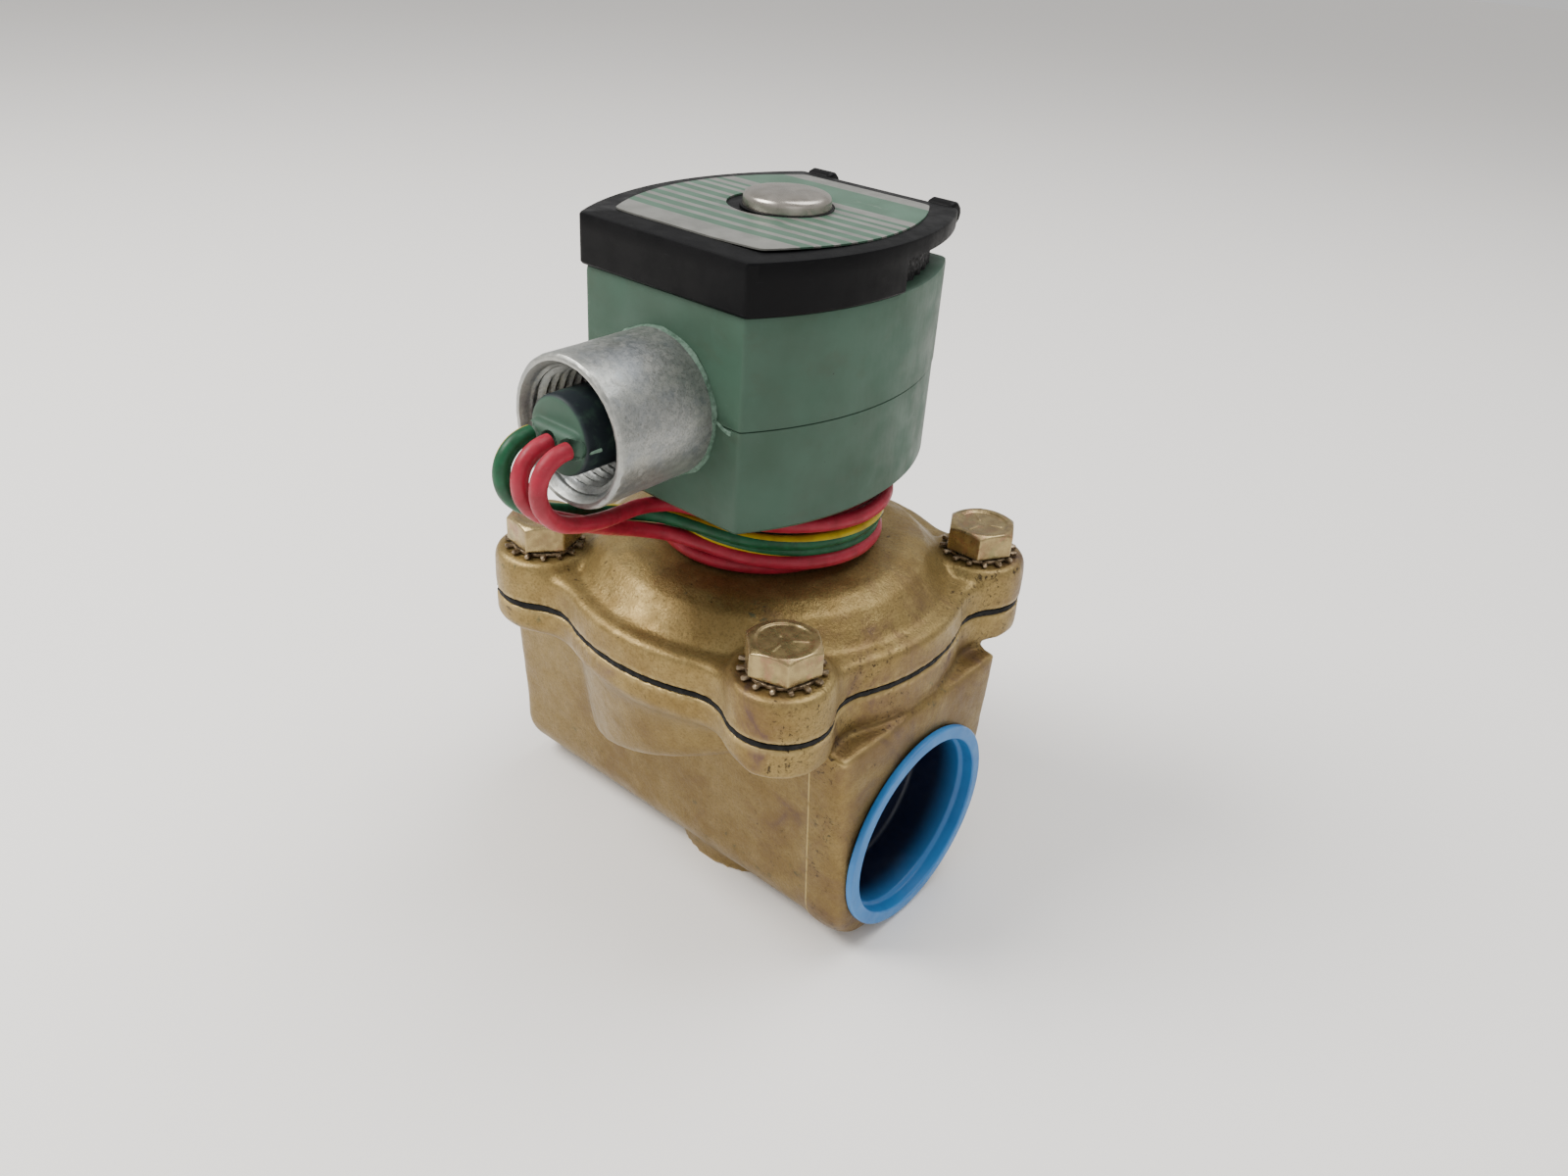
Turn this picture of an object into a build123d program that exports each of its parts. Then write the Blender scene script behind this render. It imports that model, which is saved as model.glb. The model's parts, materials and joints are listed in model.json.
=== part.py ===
"""Pilot-operated brass solenoid valve, 1 1/4 in NPT, with a moulded swivelling coil.

Millimetres, +Z up. The origin is on the flat bottom boss, under the solenoid's axis.
+X runs to the outlet port, -Y to the conduit hub.
"""
from build123d import *
import math
import os

os.makedirs("parts", exist_ok=True)

# ---------------------------------------------------------------- driving dimensions
# body
PORT_Z = 23.0                  # height of the through axis
OUTLET_X = 42.9                # outlet face
INLET_X = -52.3                # inlet face
BAND = 8.6                     # machined band at the outlet end
BLOCK_BOTTOM_Z = 0.7
BLOCK_TOP_Z = 52.0
BLOCK_BOTTOM_HALF = 21.6       # half width of the port block before its corners are rounded
BLOCK_TOP_HALF = 25.8
BLOCK_CORNER_R = 12.0
BOSS_X = 4.0
BOSS_R = 18.2
PORT_R = 20.3                  # mean radius of the 1 1/4 in pipe thread
INLET_THREAD = 18.5
OUTLET_THREAD = 16.9
FLOW_R = 14.0

# bonnet joint
BOLT_XY = 31.0                 # half of the square bolt pattern
FLANGE_R = 41.3
LOBE_R = 9.9
NOTCH_R = 10.0                 # concave radius between flange and lobes
FLANGE_BOTTOM_Z = 53.2
SEAL_Z = 59.4                  # body face
SEAL_T = 1.7                   # diaphragm thickness
BONNET_Z = SEAL_Z + SEAL_T
RIM_TOP_Z = 67.6
LOBE_TOP_Z = 69.5
DOME_TOP_Z = 74.0
DOME_ROOF_Z = 69.0
CHAMBER_R = 29.0
PASSAGE_X = 35.3               # pilot passage through the joint
PASSAGE_R = 1.6

# bonnet screws, 5/16 in with 1/2 in hexagon heads
SCREW_R = 3.9
HEX_AF = 12.7
HEAD_H = 5.3
WASHER_T = 1.2
WASHER_R = 7.7
WASHER_TEETH = 15
HEAD_Z = LOBE_TOP_Z + WASHER_T

# main valve
SEAT_Z = 47.0
SEAT_R = 14.3                  # 1 1/8 in orifice
SEAT_OUTER_R = 17.5
DISC_Z = 53.0                  # underside of the diaphragm where it is clamped

# solenoid
TUBE_R = 7.5
TUBE_WALL = 0.5
CORE_R = TUBE_R - TUBE_WALL - 0.08
CORE_TOP_Z = 103.0
CORE_STROKE = 1.5
NOZZLE_Z = 71.0
PLUG_Z = CORE_TOP_Z + CORE_STROKE + 0.1
COLLAR_TOP_Z = 88.8

# moulded coil
COIL_BOTTOM_Z = 89.6
COIL_TOP_Z = 127.8
COIL_FRONT_Y = -30.1
COIL_BACK_Y = 25.6
COIL_FRONT_HALF = 18.0
COIL_BACK_HALF = 17.4
COIL_BULGE_X = 25.6
COIL_BULGE_Y = -1.5
COIL_BORE_R = TUBE_R + 0.08
HUB_Z = 108.8
HUB_R = 12.7
HUB_BORE_R = 10.6
HUB_MOUTH_Y = -50.8
HUB_ROOT_Y = -26.5
STUB_R = 6.7
STUB_Y = -52.5
LEDGE_Y = -54.6
LEDGE_HALF = 6.3
LEDGE_Z = (106.4, 111.0)
COVER_PROUD = 0.8
COVER_SKIRT_Z = 127.9
COVER_PLATE_Z = 133.6
COVER_TOP_Z = 135.8
SKIRT_T = 1.7
PLATE_T = 0.35

# leads: three 18 AWG leads of 18 in, wound round the solenoid base
LEAD_D = 2.9
LEAD_EXIT_Z = 108.6
LEAD_EXIT_X = {"lead_red_right": 4.8, "lead_ground": -4.0, "lead_red_left": 0.4}
HANK_INNER_R = 16.4
HANK_OUTER_R = 22.4
HANK_Z = (74.6, 88.9)

# outlet shipping plug
PLUG_FLANGE_R = 22.2
PLUG_CUP_R = 20.2
PLUG_MOUTH_R = 19.3
PLUG_HOLLOW_R = 18.6
PLUG_FACE_X = OUTLET_X + 1.8
PLUG_BACK_X = 29.0


# ---------------------------------------------------------------- helpers
def rod_z(radius, z0, z1, x=0.0, y=0.0):
    return Pos(x, y, (z0 + z1) / 2) * Cylinder(radius, z1 - z0)


def rod_x(radius, x0, x1, y=0.0, z=0.0):
    return Pos((x0 + x1) / 2, y, z) * Rot(0, 90, 0) * Cylinder(radius, x1 - x0)


def rod_y(radius, y0, y1, x=0.0, z=0.0):
    return Pos(x, (y0 + y1) / 2, z) * Rot(90, 0, 0) * Cylinder(radius, y1 - y0)


def ring_z(outer, inner, z0, z1, x=0.0, y=0.0):
    return rod_z(outer, z0, z1, x, y) - rod_z(inner, z0 - 1, z1 + 1, x, y)


def block(x0, x1, y0, y1, z0, z1):
    return Pos((x0 + x1) / 2, (y0 + y1) / 2, (z0 + z1) / 2) * Box(x1 - x0, y1 - y0, z1 - z0)


def prism(sketch, z0, z1):
    return Pos(0, 0, z0) * extrude(sketch, z1 - z0)


def spun(points):
    """A solid of revolution about Z from (radius, height) points."""
    face = make_face(Polyline([(r, 0, z) for r, z in points], close=True))
    return revolve(face, Axis.Z)


def joined(solids):
    """Separate solids kept side by side in one node."""
    return Compound(children=[s if isinstance(s, Solid) else s.solids()[0] for s in solids])


def spring_z(mean_r, wire_r, z0, z1, turns):
    """A coil spring between two heights."""
    height = z1 - z0 - 2 * wire_r
    path = Helix(pitch=height / turns, height=height, radius=mean_r)
    start = path.position_at(0)
    profile = Plane(origin=start, z_dir=path.tangent_at(0)) * Circle(wire_r)
    return Pos(0, 0, z0 + wire_r) * sweep(profile, path=path, is_frenet=True)


def bolt_places():
    return [(sx * BOLT_XY, sy * BOLT_XY) for sx in (1, -1) for sy in (1, -1)]


def save(shape, node):
    export_step(shape, f"parts/{node}.step")


# ---------------------------------------------------------------- body and bonnet
def flange_prism(z0, z1, grow=0.0):
    """Round flange with four corner lobes and hollow radii between them."""
    sketch = Circle(FLANGE_R + grow)
    for x, y in bolt_places():
        sketch += Pos(x, y) * Circle(LOBE_R + grow)
    solid = prism(sketch, z0, z1)
    notches = [e for e in solid.edges().filter_by(Axis.Z) if e.length > (z1 - z0) * 0.99
               and abs(math.hypot(e.center().X, e.center().Y) - FLANGE_R - grow) < 0.05]
    return fillet(notches, NOTCH_R - grow)


def bolt_holes(radius, z0, z1):
    return [rod_z(radius, z0, z1, x, y) for x, y in bolt_places()]


def port_section(shrink=0.0):
    """Drafted port block section, rounded at its two lower corners, in (y, z)."""
    low, high = BLOCK_BOTTOM_HALF - shrink, BLOCK_TOP_HALF - shrink
    outline = Polyline((-low, BLOCK_BOTTOM_Z + shrink), (low, BLOCK_BOTTOM_Z + shrink),
                       (high, BLOCK_TOP_Z), (-high, BLOCK_TOP_Z), close=True)
    face = make_face(outline)
    low_corners = face.vertices().sort_by(Axis.Y)[:2]
    return fillet(low_corners, BLOCK_CORNER_R)


def port_block(x0, x1, shrink=0.0):
    section = Plane(origin=(x0, 0, 0), x_dir=(0, 1, 0), z_dir=(1, 0, 0)) * port_section(shrink)
    return extrude(section, x1 - x0)


def valve_body():
    body = port_block(OUTLET_X - BAND, OUTLET_X) + port_block(INLET_X, OUTLET_X - BAND, 0.4)
    ends = body.edges().filter_by_position(Axis.X, OUTLET_X - 0.01, OUTLET_X + 0.01)
    body = fillet(ends, 1.2)
    ends = body.edges().filter_by_position(Axis.X, INLET_X - 0.01, INLET_X + 0.01)
    body = fillet(ends, 2.0)
    body += flange_prism(FLANGE_BOTTOM_Z, SEAL_Z)
    # bowl: drafted wall, underside sloping up toward the outlet
    bowl = spun([(0, 22), (34.2, 22), (38.4, FLANGE_BOTTOM_Z), (0, FLANGE_BOTTOM_Z)])
    under = Pos(-4, 0, 34) * Rot(0, -23, 0) * Pos(0, 0, -40) * Box(160, 120, 80)
    body += bowl - under
    body += spun([(0, 0), (BOSS_R, 0), (BOSS_R + 1.6, 12), (0, 12)]).moved(Pos(BOSS_X, 0, 0))
    # chamber, inlet way and seat
    body -= rod_z(CHAMBER_R, 38, SEAL_Z + 1)
    body -= rod_x(FLOW_R, INLET_X + 10, -20.0, 0, PORT_Z)
    body -= Pos(-25.5, 0, 33) * Box(13, 24, 20)
    body += rod_z(SEAT_OUTER_R, 8, SEAT_Z)
    body -= rod_z(SEAT_R, PORT_Z - 6, SEAT_Z + 1)
    body -= rod_x(FLOW_R, 0, OUTLET_X, 0, PORT_Z)
    body -= rod_x(PORT_R, OUTLET_X - OUTLET_THREAD, OUTLET_X + 1, 0, PORT_Z)
    body -= rod_x(PORT_R, INLET_X - 1, INLET_X + INLET_THREAD, 0, PORT_Z)
    body -= rod_z(PASSAGE_R, PORT_Z + 12, SEAL_Z + 1, PASSAGE_X)
    for hole in bolt_holes(SCREW_R + 0.05, FLANGE_BOTTOM_Z - 6, SEAL_Z + 1):
        body -= hole
    return body


def bonnet():
    shell = flange_prism(BONNET_Z, RIM_TOP_Z)
    rim = shell.edges().filter_by_position(Axis.Z, RIM_TOP_Z - 0.01, RIM_TOP_Z + 0.01)
    shell = fillet(rim, 1.6)
    for x, y in bolt_places():
        lobe = rod_z(LOBE_R - 0.05, BONNET_Z, LOBE_TOP_Z, x, y)
        top = lobe.edges().filter_by_position(Axis.Z, LOBE_TOP_Z - 0.01, LOBE_TOP_Z + 0.01)
        shell += fillet(top, 1.5)
    dome = spun([(0, BONNET_Z), (37.5, BONNET_Z), (37.5, RIM_TOP_Z), (35.6, 69.4), (32.0, 72.6),
                 (28.0, DOME_TOP_Z), (0, DOME_TOP_Z)])
    shell += dome
    shell -= spun([(0, BONNET_Z - 1), (CHAMBER_R, BONNET_Z - 1), (CHAMBER_R, 65.5), (26, DOME_ROOF_Z),
                   (0, DOME_ROOF_Z)])
    # pilot well, nozzle and the rib that carries the pilot passage
    shell += rod_z(12.5, 65.2, DOME_ROOF_Z)
    shell += block(0, CHAMBER_R + 1, -3.4, 3.4, 65.2, DOME_ROOF_Z)
    shell -= rod_z(10.0, 68.6, DOME_TOP_Z + 1)
    shell -= rod_x(PASSAGE_R, -0.5, PASSAGE_X, 0, 67.0)
    shell -= rod_z(PASSAGE_R, BONNET_Z - 1, 67.0, PASSAGE_X)
    shell -= rod_z(2.5, 67.5, 69.5)
    for turn in (90, 180, 270):
        way = Rot(0, 0, turn) * Pos(8.2, 0, 67) * Cylinder(1.1, 6)
        shell -= way
    for hole in bolt_holes(SCREW_R + 0.4, BONNET_Z - 1, LOBE_TOP_Z + 2):
        shell -= hole
    return shell


def pilot_nozzle():
    """Pressed-in pilot seat that the core's disc closes."""
    return spun([(1.2, 67.5), (2.5, 67.5), (2.5, 69.5), (4.2, 69.5), (1.9, NOZZLE_Z), (1.2, NOZZLE_Z)])


def diaphragm():
    """Moulded rubber diaphragm whose rim is also the gasket of the joint."""
    rim = flange_prism(SEAL_Z, BONNET_Z) - rod_z(CHAMBER_R + 0.5, SEAL_Z - 1, BONNET_Z + 1)
    low, high = DISC_Z, DISC_Z + SEAL_T
    web = spun([(3.1, low), (18.4, low), (21.5, low + 1.0), (26.0, SEAL_Z - 0.6), (CHAMBER_R - 0.3, SEAL_Z),
                (CHAMBER_R + 0.5, SEAL_Z), (CHAMBER_R + 0.5, BONNET_Z), (25.4, BONNET_Z - 0.6),
                (20.6, high + 1.0), (17.9, high), (3.1, high)])
    sheet = rim + web
    for hole in bolt_holes(SCREW_R + 0.3, SEAL_Z - 1, BONNET_Z + 1):
        sheet -= hole
    sheet -= rod_z(3.3, SEAL_Z - 1, BONNET_Z + 1, PASSAGE_X)
    return sheet


def hexagon(af, z0, z1, x=0.0, y=0.0, turn=0.0):
    flat = Rot(0, 0, turn) * RegularPolygon(af / 2, 6, major_radius=False)
    return Pos(x, y, z0) * extrude(flat, z1 - z0)


def screw(x, y, turn):
    """Hexagon head screw with a chamfered, lightly dished top."""
    head = hexagon(HEX_AF, HEAD_Z, HEAD_Z + HEAD_H, x, y, turn)
    cone = spun([(0, HEAD_Z - 1), (9, HEAD_Z - 1), (9, HEAD_Z + HEAD_H - 1.7), (6.1, HEAD_Z + HEAD_H),
                 (0, HEAD_Z + HEAD_H)])
    head = head & cone.moved(Pos(x, y, 0))
    head -= rod_z(5.0, HEAD_Z + HEAD_H - 0.35, HEAD_Z + HEAD_H + 1, x, y)
    return head + rod_z(SCREW_R, FLANGE_BOTTOM_Z + 0.2, HEAD_Z, x, y)


def lock_washer(x, y):
    """External-tooth lock washer."""
    body = ring_z(6.6, SCREW_R + 0.25, LOBE_TOP_Z, HEAD_Z, x, y)
    for k in range(WASHER_TEETH):
        tooth = Box(2.4, 1.25, WASHER_T * 0.98)
        place = Pos(x, y, (LOBE_TOP_Z + HEAD_Z) / 2) * Rot(0, 0, 360 * k / WASHER_TEETH)
        body += place * Pos(WASHER_R - 1.2, 0, 0) * tooth
    return body


# ---------------------------------------------------------------- main valve disc
def seat_disc():
    return ring_z(16.8, 4.6, SEAT_Z + 0.02, SEAT_Z + 3.0)


def disc_holder():
    """Brass cup over the seat disc with the stud that clamps the diaphragm."""
    cup = rod_z(17.6, SEAT_Z + 1.4, DISC_Z) - rod_z(16.8, SEAT_Z, SEAT_Z + 3.0)
    hub = rod_z(4.6, SEAT_Z + 0.6, DISC_Z)
    return cup + hub + rod_z(3.0, DISC_Z - 1, DISC_Z + SEAL_T + 4.4)


def support_washer():
    z = DISC_Z + SEAL_T
    return spun([(3.1, z), (17.4, z), (17.4, z + 0.6), (16.8, z + 1.2), (3.1, z + 1.2)])


def diaphragm_nut():
    z = DISC_Z + SEAL_T + 1.2
    return hexagon(10.0, z, z + 2.8) - rod_z(3.0, z - 1, z + 4)


# ---------------------------------------------------------------- solenoid base, tube and core
def solenoid_base():
    """Threaded sleeve with a hexagon collar that holds the core tube on the bonnet."""
    spigot = rod_z(9.95, 70.2, DOME_TOP_Z)
    collar = hexagon(27.0, DOME_TOP_Z, 77.4) & rod_z(15.0, DOME_TOP_Z, 77.4)
    neck = rod_z(11.0, 77.4, COLLAR_TOP_Z)
    return spigot + collar + neck - rod_z(TUBE_R, 69, COLLAR_TOP_Z + 1)


def base_seal():
    """Square-section seal ring at the foot of the base's thread."""
    return ring_z(9.9, TUBE_R + 0.05, 68.65, 70.15)


def core_tube():
    return ring_z(TUBE_R, TUBE_R - TUBE_WALL, 70.2, 126.0)


def plugnut():
    """Fixed core in the top of the tube, with a stud for the retaining cap."""
    body = rod_z(TUBE_R - TUBE_WALL, PLUG_Z, 126.0) + rod_z(TUBE_R, 126.0, 127.2)
    body += rod_z(4.4, 127.2, 137.6)
    return body - ring_z(5.4, 4.2, PLUG_Z - 1, PLUG_Z + 1.4)


def shading_ring():
    return ring_z(5.4, 4.2, PLUG_Z + 0.3, PLUG_Z + 1.4)


def core():
    """Sliding core; its skirt carries the pilot disc and its neck the return spring."""
    body = rod_z(CORE_R, NOZZLE_Z + 0.7, 97.0) + rod_z(4.6, 97.0, CORE_TOP_Z)
    body -= rod_z(4.0, NOZZLE_Z, NOZZLE_Z + 2.4)
    for turn in (0, 120, 240):
        body -= Rot(0, 0, turn) * Pos(CORE_R + 0.2, 0, 84.5) * Box(2.0, 1.6, 26)
    return body


def core_disc():
    return rod_z(4.0, NOZZLE_Z + 0.02, NOZZLE_Z + 2.4)


# ---------------------------------------------------------------- moulded coil
def coil_outline(grow=0.0):
    """Flat front, bowed sides, flat back."""
    fx, fy = COIL_FRONT_HALF + grow, COIL_FRONT_Y - grow
    bx, by = COIL_BACK_HALF + grow, COIL_BACK_Y + grow
    mid = (COIL_BULGE_X + grow, COIL_BULGE_Y)
    lines = [Line((-fx, fy), (fx, fy)), ThreePointArc((fx, fy), mid, (bx, by)), Line((bx, by), (-bx, by)),
             ThreePointArc((-bx, by), (-mid[0], mid[1]), (-fx, fy))]
    return make_face(lines)


def yoke():
    """Steel strap frame round the winding."""
    top = block(-14, 14, -15, 20.5, 124.6, 127.0)
    bottom = block(-14, 14, -15, 20.5, 90.8, 93.2)
    back = block(-14, 14, 18.1, 20.5, 93.2, 124.6)
    return top + bottom + back - rod_z(COIL_BORE_R, 80, 130)


def flux_plate():
    """Second half of the frame, on the hub side."""
    plate = block(-14, 14, -17.4, -15, 90.8, 127.0)
    return plate - rod_y(6.0, -18, -14, 0, HUB_Z)


def bobbin():
    spool = rod_z(9.2, 93.2, 124.6) + rod_z(14.9, 93.2, 94.8) + rod_z(14.9, 123.0, 124.6)
    return spool - rod_z(COIL_BORE_R, 80, 130)


def winding():
    return ring_z(14.4, 9.2, 94.8, 123.0)


def coil_housing():
    shell = prism(coil_outline(), COIL_BOTTOM_Z, COIL_TOP_Z)
    low = shell.edges().filter_by_position(Axis.Z, COIL_BOTTOM_Z - 0.01, COIL_BOTTOM_Z + 0.01)
    shell = chamfer(low, 0.9)
    for inner in (yoke(), flux_plate(), ring_z(14.9, 1, 93.2, 124.6)):
        shell -= inner
    shell -= rod_z(COIL_BORE_R, 80, 130)
    shell -= rod_y(HUB_R, COIL_FRONT_Y - 1, HUB_ROOT_Y, 0, HUB_Z)
    return shell


def conduit_hub():
    tube = rod_y(HUB_R, HUB_MOUTH_Y, HUB_ROOT_Y, 0, HUB_Z)
    tube -= rod_y(HUB_BORE_R, HUB_MOUTH_Y - 1, HUB_ROOT_Y - 1.6, 0, HUB_Z)
    tube -= rod_y(STUB_R, HUB_ROOT_Y - 3, HUB_ROOT_Y + 1, 0, HUB_Z)
    mouth = tube.edges().filter_by_position(Axis.Y, HUB_MOUTH_Y - 0.01, HUB_MOUTH_Y + 0.01)
    return chamfer(mouth, 0.5)


def lead_stub():
    """Moulded stub that brings the leads out inside the hub."""
    stub = rod_y(STUB_R, STUB_Y, HUB_ROOT_Y, 0, HUB_Z)
    ledge = block(-LEDGE_HALF, LEDGE_HALF, LEDGE_Y, STUB_Y + 1, *LEDGE_Z)
    return stub + (ledge & rod_y(STUB_R - 0.2, LEDGE_Y - 1, STUB_Y + 2, 0, HUB_Z))


def coil_potting():
    """Black fill on top of the winding, set back from the housing's edge."""
    fill = prism(coil_outline(-2.2), COIL_TOP_Z, COVER_PLATE_Z - 0.1)
    return fill - rod_z(COIL_BORE_R, 120, 140)


def top_cover():
    """Flat lid with a skirt round its front half and two lugs at the back."""
    lid = prism(coil_outline(COVER_PROUD), COVER_PLATE_Z, COVER_TOP_Z)
    skirt = prism(coil_outline(COVER_PROUD), COVER_SKIRT_Z, COVER_PLATE_Z)
    skirt -= prism(coil_outline(COVER_PROUD - SKIRT_T), COVER_SKIRT_Z - 1, COVER_PLATE_Z + 1)
    skirt -= block(-40, 40, 0.2, 60, COVER_SKIRT_Z - 1, COVER_PLATE_Z + 1)
    lid += skirt
    for side in (1, -1):
        lid += rod_x(2.3, side * 14.2 - 2.8, side * 14.2 + 2.8, 27.6, COVER_TOP_Z - 1.6)
        lid += block(side * 14.2 - 1.6, side * 14.2 + 1.6, 25.5, 27.6, COVER_PLATE_Z, COVER_TOP_Z - 0.4)
    return lid - rod_z(COIL_BORE_R, 120, 140)


def nameplate():
    plate = prism(coil_outline(-3.0), COVER_TOP_Z, COVER_TOP_Z + PLATE_T)
    plate -= block(-40, 40, -60, -25.2, COVER_TOP_Z - 1, COVER_TOP_Z + 2)
    corners = [e for e in plate.edges().filter_by(Axis.Z) if e.center().Y > 0]
    plate = fillet(corners, 2.5)
    return plate - rod_z(8.4, COVER_TOP_Z - 1, COVER_TOP_Z + 2)


def cap_ring():
    return ring_z(8.2, 4.5, COVER_TOP_Z + 0.05, COVER_TOP_Z + 0.6)


def retaining_cap():
    """Push-on dome cap that holds the coil down on its tube."""
    z = COVER_TOP_Z + 0.65
    outer = spun([(0, z), (7.8, z), (7.8, z + 0.7), (7.2, z + 1.6), (5.6, z + 2.6), (3.0, z + 3.2), (0, z + 3.4)])
    return outer - rod_z(4.45, z - 1, z + 1.3)


def spring_washer():
    """Washer that takes up the coil's end play on the base."""
    return spun([(7.9, 88.9), (8.6, 88.9), (10.6, 89.2), (10.6, 89.5), (8.6, 89.2), (7.9, 89.2)])


# ---------------------------------------------------------------- leads
def lead_route(x, row):
    """Out of the ledge, down in a loop, back under the hub and in to one row of the hank."""
    top = LEAD_EXIT_Z
    return [
        (x, LEDGE_Y, top),
        (x, LEDGE_Y - 2.8, top),
        (x - 0.2, LEDGE_Y - 5.9, top - 3.3),
        (x - 0.5, LEDGE_Y - 5.6, top - 8.0),
        (x - 1.0, LEDGE_Y - 2.4, top - 12.0),
        (0.93 * x - 2.0, LEDGE_Y + 3.0, 93.7 - 0.3 * row),
        (0.84 * x - 3.2, LEDGE_Y + 9.4, 91.5 - 0.9 * row),
        (0.66 * x - 5.0, LEDGE_Y + 16.4, 89.4 - 1.8 * row),
        (0.44 * x - 6.5, LEDGE_Y + 24.0, 87.6 - 2.7 * row),
        (0.20 * x - 3.8, LEDGE_Y + 30.9, 86.4 - 3.3 * row),
        (2.6, -21.3, 86.0 - 3.4 * row),
    ]


def arc_radii(points):
    """Each arc is as large as its two runs allow; an end run serves one arc, the others two."""
    vectors = [Vector(*p) for p in points]
    room = [0.45 * (b - a).length for a, b in zip(vectors, vectors[1:])]
    room[0] *= 2
    room[-1] *= 2
    radii = []
    for i, (a, b, c) in enumerate(zip(vectors, vectors[1:], vectors[2:])):
        turn = math.radians((b - a).get_angle(c - b))
        radii.append(min(room[i], room[i + 1]) / math.tan(turn / 2))
    return radii


def cord_tube(points, node):
    radii = arc_radii(points)
    path = FilletPolyline(*points, radius=radii)
    start = Vector(*points[1]) - Vector(*points[0])
    profile = Plane(origin=points[0], z_dir=start) * Circle(LEAD_D / 2)
    tube = sweep(profile, path=path)
    expected = math.pi * (LEAD_D / 2) ** 2 * path.length
    print(node, "radii", [round(r, 1) for r in radii], "length", round(path.length, 1),
          "volume ratio", round(tube.volume / expected, 4))
    return tube


def lead_hank():
    """Outer shape of the turns wound round the solenoid base."""
    return ring_z(HANK_OUTER_R, HANK_INNER_R, *HANK_Z)


# ---------------------------------------------------------------- outlet plug
def port_plug():
    """Push-in shipping plug: thin flange and a hollow cup with a step near its mouth."""
    face = PLUG_FACE_X
    plug = rod_x(PLUG_FLANGE_R, face - 1.5, face, 0, PORT_Z)
    plug += rod_x(PLUG_CUP_R, PLUG_BACK_X, face - 1.0, 0, PORT_Z)
    plug -= rod_x(PLUG_MOUTH_R, face - 2.6, face + 1, 0, PORT_Z)
    plug -= rod_x(PLUG_HOLLOW_R, PLUG_BACK_X + 1.2, face, 0, PORT_Z)
    rim = plug.edges().filter_by_position(Axis.X, face - 0.01, face + 0.01)
    return fillet(rim, 0.3)


# ---------------------------------------------------------------- write every node
SIMPLE = [valve_body, bonnet, pilot_nozzle, diaphragm, seat_disc, disc_holder, support_washer, diaphragm_nut,
          solenoid_base, base_seal, core_tube, plugnut, shading_ring, core, core_disc, yoke, flux_plate, bobbin,
          winding, coil_housing, conduit_hub, lead_stub, coil_potting, top_cover, nameplate, cap_ring,
          retaining_cap, spring_washer, lead_hank, port_plug]
for make in SIMPLE:
    save(make(), make.__name__)

save(joined([screw(x, y, 17 * k) for k, (x, y) in enumerate(bolt_places())]), "bonnet_screws")
save(joined([lock_washer(x, y) for x, y in bolt_places()]), "lock_washers")
save(ring_z(3.2, PASSAGE_R + 0.1, SEAL_Z, BONNET_Z, PASSAGE_X), "passage_seal")
save(spring_z(9.0, 0.55, DISC_Z + SEAL_T + 1.25, DOME_ROOF_Z - 3.85, 2.5), "diaphragm_spring")
save(spring_z(5.6, 0.45, 97.05, PLUG_Z - 0.05, 5), "core_spring")

for row, (node, exit_x) in enumerate(LEAD_EXIT_X.items()):
    save(cord_tube(lead_route(exit_x, row), node), node)
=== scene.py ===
"""Pilot-operated solenoid valve: the looks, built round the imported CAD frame.

Shapes are worked out in millimetres of the row frame and written in metres.
"""
import json
import math

import bpy
import bmesh
import numpy as np
from mathutils import Matrix, Vector, noise


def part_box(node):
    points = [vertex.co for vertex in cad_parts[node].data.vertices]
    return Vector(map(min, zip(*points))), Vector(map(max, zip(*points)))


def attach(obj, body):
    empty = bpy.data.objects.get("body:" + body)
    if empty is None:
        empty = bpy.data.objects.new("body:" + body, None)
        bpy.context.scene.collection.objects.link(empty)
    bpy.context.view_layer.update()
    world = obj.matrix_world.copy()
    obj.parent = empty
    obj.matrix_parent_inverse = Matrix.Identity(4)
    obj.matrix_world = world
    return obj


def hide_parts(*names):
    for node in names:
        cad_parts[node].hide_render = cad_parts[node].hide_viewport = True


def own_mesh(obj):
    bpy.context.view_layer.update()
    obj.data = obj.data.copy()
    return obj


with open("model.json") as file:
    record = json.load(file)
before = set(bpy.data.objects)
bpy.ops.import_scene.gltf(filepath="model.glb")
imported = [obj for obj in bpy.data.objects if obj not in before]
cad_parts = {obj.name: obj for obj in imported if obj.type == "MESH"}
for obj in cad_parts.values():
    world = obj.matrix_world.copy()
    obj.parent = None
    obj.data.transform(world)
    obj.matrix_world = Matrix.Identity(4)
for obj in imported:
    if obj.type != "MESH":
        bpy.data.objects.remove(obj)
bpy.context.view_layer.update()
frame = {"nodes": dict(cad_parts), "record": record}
MM = 0.001


def node_box(node):
    """Lowest and highest corner of a CAD node, in millimetres."""
    low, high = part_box(node)
    return np.array(low) / MM, np.array(high) / MM


HUB_LOW, HUB_HIGH = node_box("conduit_hub")
STUB_LOW, STUB_HIGH = node_box("lead_stub")
BODY_LOW, BODY_HIGH = node_box("valve_body")
BONNET_LOW = node_box("bonnet")[0]
COIL_LOW, COIL_HIGH = node_box("coil_housing")
COVER_LOW, COVER_HIGH = node_box("top_cover")
PLUG_LOW, PLUG_HIGH = node_box("port_plug")
CAP_LOW, CAP_HIGH = node_box("retaining_cap")
HUB_Z = (HUB_LOW[2] + HUB_HIGH[2]) / 2
HUB_R = (HUB_HIGH[2] - HUB_LOW[2]) / 2
PORT_Z = (PLUG_LOW[2] + PLUG_HIGH[2]) / 2

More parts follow.
